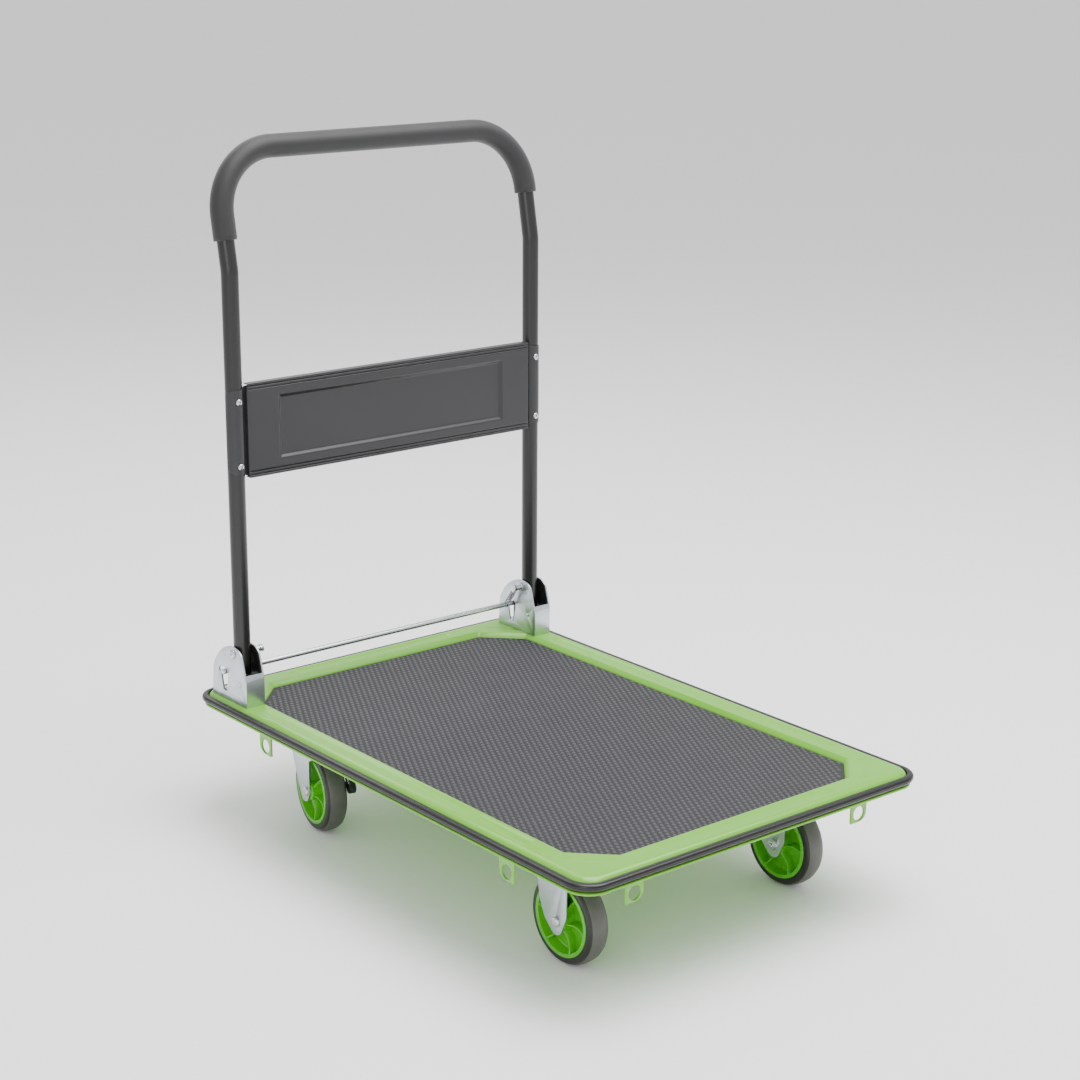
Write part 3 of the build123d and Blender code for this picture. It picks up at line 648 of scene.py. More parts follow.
@dataclass
class Repeated:
    """One small part that is repeated: bolts, nuts, screws, balls."""

    template: bpy.types.Object
    finish: Finish
    turn: float = 0.0

    def set_at(self, name: str, places: Sequence[Sequence[float]],
               facings: Sequence[Sequence[float]]) -> bpy.types.Object:
        """Sets a copy at every place.

        Args:
            name: Piece name.
            places: Positions in millimetres.
            facings: Direction of each copy's Z axis.

        Returns:
            One object with all the copies.
        """
        holder = bpy.data.meshes.new(name)
        holder.from_pydata([tuple(float(c) * MM for c in p) for p in places], [], [])
        layer = holder.attributes.new("facing", "FLOAT_VECTOR", "POINT")
        for slot, facing in zip(layer.data, facings):
            slot.vector = tuple(float(c) for c in facing)
        piece = grow(name, holder, repeat_at_points(self.finish), {"Copy": self.template, "Turn": self.turn})
        bpy.data.objects.remove(self.template)
        piece.data.set_sharp_from_angle(angle=math.radians(35))
        return piece


def six_sided(angle: float, flats: float) -> float:
    """Distance from the middle of a hexagon to its edge."""
    turn = (angle + math.pi / 6) % (math.pi / 3) - math.pi / 6
    return flats / 2 / math.cos(turn)


def hex_form(name: str, flats: float, height: float, bore: float, finish: Finish) -> bpy.types.Object:
    """A hexagon head or nut standing on Z = 0, with chamfered corners.

    Args:
        name: Object name.
        flats: Size across flats.
        height: Height of the form.
        bore: Radius of its hole, or 0 for a head.
        finish: Its finish.

    Returns:
        The template object.
    """
    circle = unit_circle(36)
    reach = np.array([six_sided(a, flats) for a in ring_angles(36)])
    face = flats / 2 * 0.97
    drop = np.clip((reach - face) * 0.55, 0, None)
    hexagon = circle * reach[:, None]
    rings = [lift(circle * face, 0.0), lift(hexagon, 0.3 + (drop if bore else 0.0)),
             lift(hexagon, height - 0.2 - drop), lift(circle * face, height)]
    if bore:
        rings = [lift(circle * bore, 0.4), lift(circle * (bore + 0.4), 0.0), *rings,
                 lift(circle * (bore + 0.4), height), lift(circle * bore, height - 0.4)]
    points, faces = skin(rings, wrap=bool(bore), caps=not bore)
    return solid(name, points, faces, [finish], 30)


def domed_form(name: str, radius: float, height: float, socket: float, finish: Finish) -> bpy.types.Object:
    """A pan or mushroom head on Z = 0 with a shallow cross-shaped drive."""
    steps, around = 6, 32
    circle = unit_circle(around)
    rings = [lift(circle * radius * 0.9, 0.0), lift(circle * radius, 0.25 * height)]
    for i in range(1, steps):
        a = math.pi / 2 * i / steps
        rings.append(lift(circle * radius * math.cos(a) ** 0.7, height * (0.25 + 0.75 * math.sin(a))))
    if socket:
        star = np.abs(np.cos(2 * ring_angles(around))) ** 0.5 * 0.75 + 0.25
        rings.append(lift(circle * (socket * star)[:, None], height * 0.98))
        rings.append(lift(circle * (socket * 0.75 * star)[:, None], height * 0.55))
    points, faces = skin(rings)
    return solid(name, points, faces, [finish], 35)


def bar_form(name: str, radius: float, length: float, finish: Finish, chamfer: float = 0.5) -> bpy.types.Object:
    """A plain round bar standing on Z = 0 with chamfered ends."""
    circle = unit_circle(28)
    rings = [lift(circle * (radius - chamfer), 0), lift(circle * radius, chamfer),
             lift(circle * radius, length - chamfer), lift(circle * (radius - chamfer), length)]
    points, faces = skin(rings)
    return solid(name, points, faces, [finish], 35)


def fit(piece: bpy.types.Object, body: Body | str, slot: str, *nodes: str) -> bpy.types.Object:
    """Fixes a finished piece to the frame.

    Args:
        piece: The object.
        body: Body it moves with.
        slot: Material slot of the record; not used.
        nodes: CAD nodes it stands for.

    Returns:
        The same object.
    """
    rides = body.value if isinstance(body, Body) else body
    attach(piece, rides)
    if nodes:
        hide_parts(*nodes)
    LOG.info("%s on %s, %d faces", piece.name, rides, len(piece.data.polygons))
    return piece


def dress(node: str, finish: Finish, bevel: float, body: Body | str, slot: str) -> bpy.types.Object:
    """Refines one CAD node and fixes it to the frame in the node's place."""
    return fit(refine(node, finish, bevel), body, slot, node)


# Standard M8 bolts and nuts: across flats, head height, nut height and thread radius in millimetres.
M8_FLATS, M8_HEAD, M8_NUT, M8_RADIUS = 13.0, 5.3, 6.5, 4.0


# ---------------------------------------------------------------- deck
@dataclass(frozen=True)
class Pressing:
    """One shallow channel pressed into the border: a line with round ends."""

    start: tuple[float, float]
    end: tuple[float, float]
    half_width: float
    wall: float
    depth: float

    def sink(self, flat: np.ndarray) -> np.ndarray:
        """How far each point is pressed down."""
        a, b = np.array(self.start), np.array(self.end)
        along = np.clip(((flat - a) @ (b - a)) / ((b - a) @ (b - a)), 0, 1)[:, None]
        gap = np.linalg.norm(flat - (a + along * (b - a)), axis=1)
        t = np.clip((self.half_width - gap) / self.wall, 0, 1)
        return self.depth * t * t * (3 - 2 * t)


@dataclass
class Deck:
    """The pressed-steel deck with its rolled hem, rubber edging, matting, cross members and lashing eyes."""

    mat_cut_front: float = 46.0
    mat_cut_rear: float = 54.0
    slope: float = 7.5
    slope_foot: float = 0.5
    rise: float = 7.0
    sheet: float = 2.0
    lip_radius: float = 12.0
    corner: float = 29.0
    bumper: float = 9.0
    hem: float = 5.0
    hem_height: float = 4.0
    counts: tuple[int, int, int] = (330, 210, 30)
    border_rings: int = 24
    pitch_x: float = 8.62
    pitch_y: float = 4.505
    rib_length: float = 8.6
    rib_width: float = 4.5
    rib_height: float = 0.8
    edge_margin: float = 2.5
    size: dict[str, float] = field(default_factory=dict)

    def measure(self) -> None:
        """Reads the sizes that the frame settles."""
        low, high = box_mm("edge_bumper")
        self.size["half_x"], self.size["half_y"] = high[0] - self.bumper, high[1] - self.bumper
        self.size["bumper_low"], self.size["bumper_top"] = low[2], high[2]
        low, high = box_mm("deck")
        self.size["low"], self.size["top"] = low[2], high[2]
        low, high = box_mm("deck_mat")
        self.size["mat_x"], self.size["mat_y"] = high[0], high[1]
        self.size["mat_low"], self.size["mat_top"] = low[2], high[2]

    def cut(self, offset: float, counts: tuple[int, int, int] | None = None) -> np.ndarray:
        """The matting's outline, grown by an offset."""
        more = offset * (2 - math.sqrt(2))
        front, rear = self.mat_cut_front + more, self.mat_cut_rear + more
        return outline(self.size["mat_x"] + offset, self.size["mat_y"] + offset, (front, rear, rear, front),
                       counts or self.counts, False)

    def rim(self, offset: float) -> np.ndarray:
        """The skirt's outline, grown by an offset."""
        return outline(self.size["half_x"] + offset, self.size["half_y"] + offset, (self.corner + offset,) * 4,
                       self.counts, True)

    def pressings(self) -> list[Pressing]:
        """The channels in the border: one along every side and one across each corner."""
        x, y = self.size["mat_x"] + 21.5, self.size["mat_y"] + 21.0
        found = []
        for side in (-1, 1):
            found.append(Pressing((side * x, -145), (side * x, 145), 12.0, 8.0, 1.8))
            found.append(Pressing((-292, side * y), (305, side * y), 12.0, 8.0, 1.8))
            found.append(Pressing((372, side * 266), (416, side * 222), 5.5, 4.5, 1.2))
            found.append(Pressing((-372, side * 262), (-412, side * 222), 5.5, 4.5, 1.2))
        return found

    def shell(self) -> bpy.types.Object:
        """The steel deck: recess, border, rounded lip, skirt and rolled hem, as one closed sheet."""
        top, floor = self.size["top"], self.size["mat_low"]
        foot = self.slope_foot
        upper = [lift(self.cut(-8), floor), lift(self.cut(foot - 0.6), floor), lift(self.cut(foot), floor + 0.6)]
        upper += [lift(self.cut(foot), top - self.rise), lift(self.cut(foot + 0.5), top - self.rise + 0.9)]
        upper += [lift(self.cut(self.slope - 1.6), top - 1.0), lift(self.cut(self.slope - 0.6), top - 0.25),
                  lift(self.cut(self.slope + 0.8), top)]
        inner, outer = self.cut(self.slope + 0.8), self.rim(-self.lip_radius)

        def field_ring(t: float, drop: float) -> np.ndarray:
            flat = inner * (1 - t) + outer * t
            sink = np.max([p.sink(flat) for p in self.pressings()], axis=0)
            return lift(flat, top - drop - sink)

        upper += [field_ring(i / self.border_rings, 0.0) for i in range(1, self.border_rings + 1)]
        for i in range(1, 9):
            a = math.pi / 2 * i / 8
            upper.append(lift(self.rim(-self.lip_radius * (1 - math.sin(a))),
                              top - self.lip_radius * (1 - math.cos(a))))
        low, roll = self.size["low"], self.hem_height / 2
        upper.append(lift(self.rim(0), low + self.hem_height + 0.9))
        upper.append(lift(self.rim(0.3), low + self.hem_height + 0.2))
        upper.append(lift(self.rim(1.0), low + self.hem_height))
        for i in range(7):
            a = math.pi / 2 - math.pi * i / 6
            upper.append(lift(self.rim(self.hem - roll + roll * math.cos(a)), low + roll + roll * math.sin(a)))
        lower = [lift(self.rim(-self.sheet), low)]
        bend = self.lip_radius - self.sheet
        for i in range(6, -1, -1):
            a = math.pi / 2 * i / 6
            lower.append(lift(self.rim(-self.sheet - bend * (1 - math.sin(a))),
                              top - self.sheet - bend * (1 - math.cos(a))))
        lower += [field_ring(i / 10, self.sheet) for i in range(9, -1, -1)]
        lower += [lift(self.cut(self.slope + 0.4), top - self.sheet), lift(self.cut(foot + 1.6), floor - self.sheet),
                  lift(self.cut(-8), floor - self.sheet)]
        points, faces = skin(upper + lower)
        return solid("deck_pressing", points, faces, [GREEN_COAT], 50)

    def edging(self) -> bpy.types.Object:
        """The rubber edging: a D-shaped section run round the skirt, with two fine mould lines."""
        low, high = self.size["bumper_low"], self.size["bumper_top"]
        tall = high - low
        section = [(0.0, 0.0), (3.0, 0.0), (5.6, 0.03), (7.3, 0.11), (8.4, 0.24), (8.9, 0.38), (9.0, 0.47), (8.75, 0.5),
                   (9.0, 0.53), (8.9, 0.66), (8.3, 0.80), (7.2, 0.91), (5.6, 0.975), (3.4, 1.0), (1.3, 1.0),
                   (0.9, 0.965), (0.5, 1.0), (0.0, 1.0)]
        rings = [lift(self.rim(d), low + tall * h) for d, h in section]
        points, faces = skin(rings, wrap=True)
        return solid("rubber_edging", points, faces, [EDGING], 50)

    def ground(self) -> bpy.types.Object:
        """The flat back of the matting under its ribs."""
        floor, face = self.size["mat_low"], self.size["mat_top"] - self.rib_height
        inside, edge = self.cut(-0.3, (2, 2, 2)), self.cut(0, (2, 2, 2))
        points, faces = skin([lift(inside, floor), lift(edge, floor + 0.3), lift(edge, face - 0.3), lift(inside, face)])
        # The ground takes the darker vinyl copy: painted shade between the ribs.
        return solid("mat_ground", points, faces, [VINYL_PAINTED_SHADE], 20)

    def rib_form(self) -> bpy.types.Object:
        """One pill-shaped rib of the matting, low and round-shouldered."""
        ends = 4
        half, radius = self.rib_length / 2, self.rib_width / 2
        loop = []
        for side in (1, -1):
            for i in range(ends):
                share = 1 - 2 * i / (ends - 1)
                a = math.pi / 2 * share if side > 0 else math.pi + math.pi / 2 * share
                loop.append((side * (half - radius) + radius * math.cos(a), side * radius * math.sin(a)))
        flat = np.array(sorted(loop, key=lambda p: math.atan2(p[1] * 1.5, p[0])))
        rings = [lift(flat, 0.0), lift(flat * 0.96, self.rib_height * 0.6),
                 lift(flat * np.array([0.86, 0.72]), self.rib_height)]
        points, faces = skin(rings)
        del faces[-2]  # the hidden underside
        return solid("rib_form", points, faces, [VINYL], 60)

    def ribs_rule(self) -> bpy.types.NodeTree:
        """A rule that lays ribs in staggered rows over the matting and leaves out those past its cut edges."""
        tree, given = new_rule("mat_ribs", [
            ("Rib", "NodeSocketObject"), ("Columns", "NodeSocketInt"), ("Rows", "NodeSocketInt"),
            ("Pitch X", "NodeSocketFloat"), ("Pitch Y", "NodeSocketFloat"), ("Height", "NodeSocketFloat"),
            ("Half length", "NodeSocketFloat"), ("Half width", "NodeSocketFloat"),
            ("Front cut", "NodeSocketFloat"), ("Rear cut", "NodeSocketFloat")])

        def maths(operation: str, *values: Any) -> bpy.types.NodeSocket:
            return add(tree, "ShaderNodeMath", {"operation": operation}, dict(enumerate(values))).outputs[0]

        index = add(tree, "GeometryNodeInputIndex").outputs[0]
        row = maths("FLOOR", maths("DIVIDE", index, given["Columns"]))
        column = maths("SUBTRACT", index, maths("MULTIPLY", row, given["Columns"]))
        odd = maths("MODULO", row, 2.0)
        middle_c = maths("DIVIDE", maths("SUBTRACT", given["Columns"], 1.0), 2.0)
        middle_r = maths("DIVIDE", maths("SUBTRACT", given["Rows"], 1.0), 2.0)
        across = maths("MULTIPLY", given["Pitch X"], 2.0)
        x = maths("ADD", maths("MULTIPLY", maths("SUBTRACT", column, middle_c), across),
                  maths("MULTIPLY", maths("SUBTRACT", odd, 0.5), given["Pitch X"]))
        y = maths("MULTIPLY", maths("SUBTRACT", row, middle_r), given["Pitch Y"])
        place = add(tree, "ShaderNodeCombineXYZ", None, {"X": x, "Y": y, "Z": given["Height"]})
        total = maths("MULTIPLY", given["Columns"], given["Rows"])
        cloud = add(tree, "GeometryNodePoints", None, {"Count": total, "Position": place.outputs[0]})
        spot = add(tree, "GeometryNodeInputPosition").outputs[0]
        parts = add(tree, "ShaderNodeSeparateXYZ", None, {"Vector": spot})
        wide_x, wide_y = maths("ABSOLUTE", parts.outputs["X"]), maths("ABSOLUTE", parts.outputs["Y"])
        reach = maths("ADD", given["Half length"], given["Half width"])
        along = parts.outputs["X"]
        limits = ((wide_x, given["Half length"]), (wide_y, given["Half width"]),
                  (maths("ADD", along, wide_y), maths("SUBTRACT", reach, given["Front cut"])),
                  (maths("SUBTRACT", wide_y, along), maths("SUBTRACT", reach, given["Rear cut"])))
        tests = [maths("GREATER_THAN", value, limit) for value, limit in limits]
        outside = tests[0]
        for test in tests[1:]:
            outside = maths("MAXIMUM", outside, test)
        kept = add(tree, "GeometryNodeDeleteGeometry", {"domain": "POINT"},
                   {"Geometry": cloud.outputs[0], "Selection": outside})
        turn = maths("ARCTAN2", maths("MULTIPLY", given["Pitch Y"], -1.0), given["Pitch X"])
        spin = add(tree, "ShaderNodeCombineXYZ", None, {"Z": turn})
        copy = add(tree, "GeometryNodeObjectInfo", None, {"Object": given["Rib"]})
        laid = add(tree, "GeometryNodeInstanceOnPoints", None,
                   {"Points": kept.outputs[0], "Instance": copy.outputs["Geometry"], "Rotation": spin.outputs[0]})
        return end_rule(tree, laid.outputs[0], VINYL)

    def ribs(self) -> bpy.types.Object:
        """All the ribs of the matting, as one mesh."""
        form = self.rib_form()
        margin = self.edge_margin
        half_x, half_y = self.size["mat_x"], self.size["mat_y"]
        columns = math.ceil(half_x / self.pitch_x) + 2
        rows = 2 * math.ceil(half_y / self.pitch_y) + 2
        values = {"Rib": form, "Columns": columns, "Rows": rows,
                  "Pitch X": self.pitch_x * MM, "Pitch Y": self.pitch_y * MM,
                  "Height": (self.size["mat_top"] - self.rib_height) * MM, "Half length": (half_x - margin - 1.5) * MM,
                  "Half width": (half_y - margin) * MM, "Front cut": (self.mat_cut_front + 2) * MM,
                  "Rear cut": (self.mat_cut_rear + 2) * MM}
        piece = grow("mat_ribs", bpy.data.meshes.new("mat_ribs"), self.ribs_rule(), values)
        bpy.data.objects.remove(form)
        return piece

    def build(self) -> None:
        """Builds the deck's pieces and fixes them to the frame."""
        self.measure()
        fit(self.shell(), Body.DECK, "green_paint", "deck")
        fit(self.edging(), Body.DECK, "bumper_rubber", "edge_bumper")
        fit(joined("rib_matting", [self.ground(), self.ribs()]), Body.DECK, "mat", "deck_mat")
        for node in ("front_crossmember", "rear_crossmember", "lashing_eyes"):
            dress(node, GREEN_COAT, 0.6, Body.DECK, "green_paint")
        self.fasteners()

    def fasteners(self) -> None:
        """The caster bolts and nuts under the deck and the bracket bolts and nuts at its rear corners."""
        for kind, up in (("caster", 1.0), ("bracket", -1.0)):
            boxes = islands(f"{kind}_bolts")
            head = hex_form(f"{kind}_head", M8_FLATS, M8_HEAD, 0.0, ZINC_BRIGHT)
            low, high = boxes[0]
            length = high[2] - low[2] - M8_HEAD
            shank = bar_form(f"{kind}_shank", M8_RADIUS, length, ZINC_BRIGHT)
            middle = [((a[0] + b[0]) / 2, (a[1] + b[1]) / 2) for a, b in boxes]
            seat = [a[2] + M8_HEAD if up > 0 else b[2] - M8_HEAD for a, b in boxes]
            facings = [(0, 0, -up)] * len(boxes)
            places = [(x, y, z) for (x, y), z in zip(middle, seat)]
            heads = Repeated(head, ZINC_BRIGHT).set_at(f"{kind}_bolt_heads", places, facings)
            shanks = Repeated(shank, ZINC_BRIGHT).set_at(f"{kind}_bolt_shanks", places, [(0, 0, up)] * len(boxes))
            fit(joined(f"{kind}_bolt_set", [heads, shanks]), Body.DECK, "zinc", f"{kind}_bolts")
            boxes = islands(f"{kind}_nuts")
            nut = hex_form(f"{kind}_nut", M8_FLATS, M8_NUT, M8_RADIUS, ZINC_BRIGHT)
            places = [((a[0] + b[0]) / 2, (a[1] + b[1]) / 2, a[2]) for a, b in boxes]
            nuts = Repeated(nut, ZINC_BRIGHT).set_at(f"{kind}_nut_set", places, [(0, 0, 1)] * len(boxes))
            fit(nuts, Body.DECK, "zinc", f"{kind}_nuts")


# ---------------------------------------------------------------- handle
@dataclass
class Handle:
    """The fold-down push handle: bent tube, sleeve, panel, screws, bushes and foot plugs."""

    tube_radius: float = 12.5
    sleeve_radius: float = 17.0
    sleeve_right: float = 869.0
    sleeve_left: float = 895.0
    kink_height: float = 826.0
    kink_angle: float = 10.5
    kink_radius: float = 52.0
    bend_radius: float = 92.0
    plug_height: float = 2.0
    sheet: float = 1.2
    field_y: float = 205.0
    field_z: float = 47.0
    field_bevel: float = 5.0
    field_depth: float = 3.6
    hem_lines: tuple[float, float] = (4.0, 8.6)
    dimple_y: float = 229.0
    notch: float = 7.0
    leg_x: float = 0.0
    leg_y: float = 0.0
    foot: float = 0.0
    top: float = 0.0

    def measure(self) -> None:
        """Reads where the legs, feet and top of the handle are."""
        bushes = islands("pivot_bushes")
        self.leg_x = float((bushes[-1][0][0] + bushes[-1][1][0]) / 2)
        self.leg_y = float((bushes[-1][0][1] + bushes[-1][1][1]) / 2)
        self.foot = float(box_mm("foot_plugs")[0][2]) + self.plug_height
        self.top = float(box_mm("handle_grip")[1][2]) - self.sleeve_radius

    def corners(self, right: float, left: float) -> np.ndarray:
        """The tube's centre line between two heights.

        Args:
            right: Height where it starts on the right leg.
            left: Height where it ends on the left leg.

        Returns:
            Points along the line in millimetres.
        """
        back = self.leg_x - (self.top - self.kink_height) * math.tan(math.radians(self.kink_angle))
        crown = [(back, -self.leg_y, self.top), (back, self.leg_y, self.top)]
        if right < self.kink_height:
            ends = [(self.leg_x, -self.leg_y, right), (self.leg_x, -self.leg_y, self.kink_height)]
            tail = [(self.leg_x, self.leg_y, self.kink_height), (self.leg_x, self.leg_y, left)]
            radii = [self.kink_radius, self.bend_radius, self.bend_radius, self.kink_radius]
            return bent_line(ends + crown + tail, radii)

        def on_leg(side: float, z: float) -> tuple[float, float, float]:
            return self.leg_x - (z - self.kink_height) * math.tan(math.radians(self.kink_angle)), side * self.leg_y, z

        return bent_line([on_leg(-1, right), *crown, on_leg(1, left)], [self.bend_radius] * 2)

    def frame_tube(self) -> bpy.types.Object:
        """The bent steel tube, its ends rolled slightly in."""
        path = self.corners(self.foot, self.foot)
        first, last = path[0], path[-1]
        path = np.vstack([first, first + (0, 0, 0.6), first + (0, 0, 20), path[1:-1],
                          last + (0, 0, 20), last + (0, 0, 0.6), last])
        radii = np.full(len(path), self.tube_radius)
        radii[[0, -1]] -= 0.6
        points, faces = tube(path, radii, 56)
        return solid("handle_frame_tube", points, faces, [CHARCOAL], 50)

    def sleeve(self) -> bpy.types.Object:
        """The soft sleeve, with rounded open ends."""
        path = self.corners(self.sleeve_right, self.sleeve_left)
        ends = []
        for tip, inside in ((path[0], path[1]), (path[-1], path[-2])):
            along = (inside - tip) / np.linalg.norm(inside - tip)
            ends.append([tip + along * d for d in (0.0, 0.05, 0.5, 1.6, 9.0)])
        path = np.vstack([ends[0], path[1:-1], ends[1][::-1]])
        radii = np.full(len(path), self.sleeve_radius)
        radii[[0, -1]] = self.tube_radius + 0.4
        for i, less in enumerate((1.6, 0.6, 0.05), 1):
            radii[[i, -1 - i]] = self.sleeve_radius - less
        points, faces = tube(path, radii, 60)
        return solid("handle_soft_sleeve", points, faces, [SLEEVE], 60)

    def panel(self) -> bpy.types.Object:
        """The pressed panel: hemmed top and bottom edges, a sunken field with a sloping frame, and ends that wrap
        round the front of the legs."""
        low, high = box_mm("handle_panel")
        front, z0, z1 = high[0], low[2], high[2]
        middle_z = (z0 + z1) / 2
        wrap = self.tube_radius + self.sheet + 0.1
        flat_end = self.leg_y - self.tube_radius - 3.0
        field_y, field_z, bevel, depth = self.field_y, self.field_z, self.field_bevel, self.field_depth
        heights = list(np.arange(z0, z0 + 10.5, 0.5)) + list(np.arange(z0 + 11, middle_z - field_z - 2, 2.0))
        heights += list(np.arange(middle_z - field_z - 2, middle_z - field_z + bevel + 2, 1.0))
        heights += list(np.linspace(middle_z - field_z + bevel + 3, middle_z, 6))
        heights = np.array(sorted(set(np.round(heights + [2 * middle_z - h for h in heights], 3))))
        sides = list(np.arange(0, field_y - bevel - 4, 12.0))
        sides += list(np.arange(field_y - bevel - 2, field_y + 2, 1.0)) + list(np.linspace(field_y + 4, flat_end, 16))
        across = np.array(sides)

        def depth_at(y: float, z: float) -> float:
            inset = min(field_y - abs(y), field_z - abs(z - middle_z))
            t = min(max(inset / bevel, 0.0), 1.0)
            sunk = depth * (0.8 * t + 0.2 * t * t * (3 - 2 * t))
            edge = min(z - z0, z1 - z)
            hem = sum(1.5 * max(0.0, 1 - abs(edge - at) / 1.1) for at in self.hem_lines)
            dimple = sum(1.3 * math.exp(-(((abs(y) - self.dimple_y) / 2.4) ** 2 + ((z - middle_z - dz) / 2.4) ** 2))
                         for dz in (-4.0, 4.0))
            return sunk + hem - dimple

        rows = []
        turn_back = [(flat_end + 0.9, -0.3), (flat_end + 1.6, -1.4), (flat_end + 2.1, -3.4), (flat_end + 2.5, -5.2)]
        arc = [(self.leg_y + wrap * math.sin(a), self.leg_x + wrap * math.cos(a))
               for a in np.radians(np.linspace(-58, 96, 27))]
        line = [(y, front) for y in across] + [(y, front + dx) for y, dx in turn_back] + arc
        count_flat = len(across)
        for z in heights:
            row = []
            for i, (y, x) in enumerate(line):
                if i < count_flat:
                    row.append((x - depth_at(y, z), y, z))
                else:
                    blend = min(1.0, (i - count_flat + 1) / 10)
                    corner = max(0.0, (i - count_flat - 18) / 12)
                    less = self.notch * blend + 9.0 * corner * corner
                    row.append((x, y, min(max(z, z0 + less), z1 - less)))
            mirrored = [(x, -y, z2) for x, y, z2 in row[:0:-1]]
            rows.append(np.array(mirrored + row))
        count = len(rows[0])
        flange = []
        for z_edge, sign in ((z0, 1), (z1, -1)):
            inner = []
            for deep in (0.8, 1.8, 6.0, 11.5):
                base = rows[0] if sign > 0 else rows[-1]
                ring = base.copy()
                flat_part = np.abs(ring[:, 1]) <= flat_end + 0.01
                ring[flat_part, 0] = front - deep
                inner.append(ring)
            flange.append(inner)
        sheet_rows = flange[0][::-1] + rows + flange[1]
        grid = np.array(sheet_rows)
        total = len(sheet_rows)
        index = np.arange(total * count).reshape(total, count)
        faces = []
        for i in range(total - 1):
            for j in range(count - 1):
                quad = (index[i, j], index[i, j + 1], index[i + 1, j + 1], index[i + 1, j])
                corners = grid.reshape(-1, 3)[list(quad)]
                if len({tuple(np.round(c, 4)) for c in corners}) == 4:
                    faces.append(quad)
        mesh = bpy.data.meshes.new("handle_front_panel")
        mesh.from_pydata([tuple(float(c) * MM for c in p) for p in grid.reshape(-1, 3)], [], faces)
        work = bmesh.new()
        work.from_mesh(mesh)
        bmesh.ops.remove_doubles(work, verts=work.verts, dist=2e-6)
        loose = [v for v in work.verts if not v.link_faces]
        bmesh.ops.delete(work, geom=loose, context="VERTS")
        bmesh.ops.recalc_face_normals(work, faces=work.faces)
        facing = sum(f.normal.x for f in work.faces if abs(f.calc_center_median().y) < 0.15)
        if facing < 0:
            bmesh.ops.reverse_faces(work, faces=work.faces)
        work.to_mesh(mesh)
        work.free()
        # The panel takes the lighter charcoal copy: painted light on the flat sheet.
        piece = put("handle_front_panel", mesh, [CHARCOAL_SHEET_PAINTED_LIGHT])
        wall = piece.modifiers.new("Sheet", "SOLIDIFY")
        wall.thickness = self.sheet * MM
        wall.offset = -1.0
        smooth(applied(piece).data, 42)
        return piece

    def build(self) -> None:
        """Builds the handle and fixes it to the frame."""
        self.measure()
        fit(self.frame_tube(), Body.HANDLE, "handle_paint", "handle_tube")
        fit(self.sleeve(), Body.HANDLE, "grip_foam", "handle_grip")
        fit(self.panel(), Body.HANDLE, "panel_paint", "handle_panel")
        boxes = islands("panel_screws")
        front = self.leg_x + self.tube_radius + self.sheet
        places = [(front - 0.1, (a[1] + b[1]) / 2, (a[2] + b[2]) / 2) for a, b in boxes]
        form = domed_form("screw_form", 4.8, 2.9, 2.2, ZINC_BRIGHT)
        screws = Repeated(form, ZINC_BRIGHT, 0.4).set_at("panel_pan_screws", places, [(1, 0, 0)] * len(places))
        fit(screws, Body.HANDLE, "zinc", "panel_screws")
        for node in ("pivot_bushes", "foot_plugs"):
            dress(node, NYLON, 0.3, Body.HANDLE, "black_nylon")


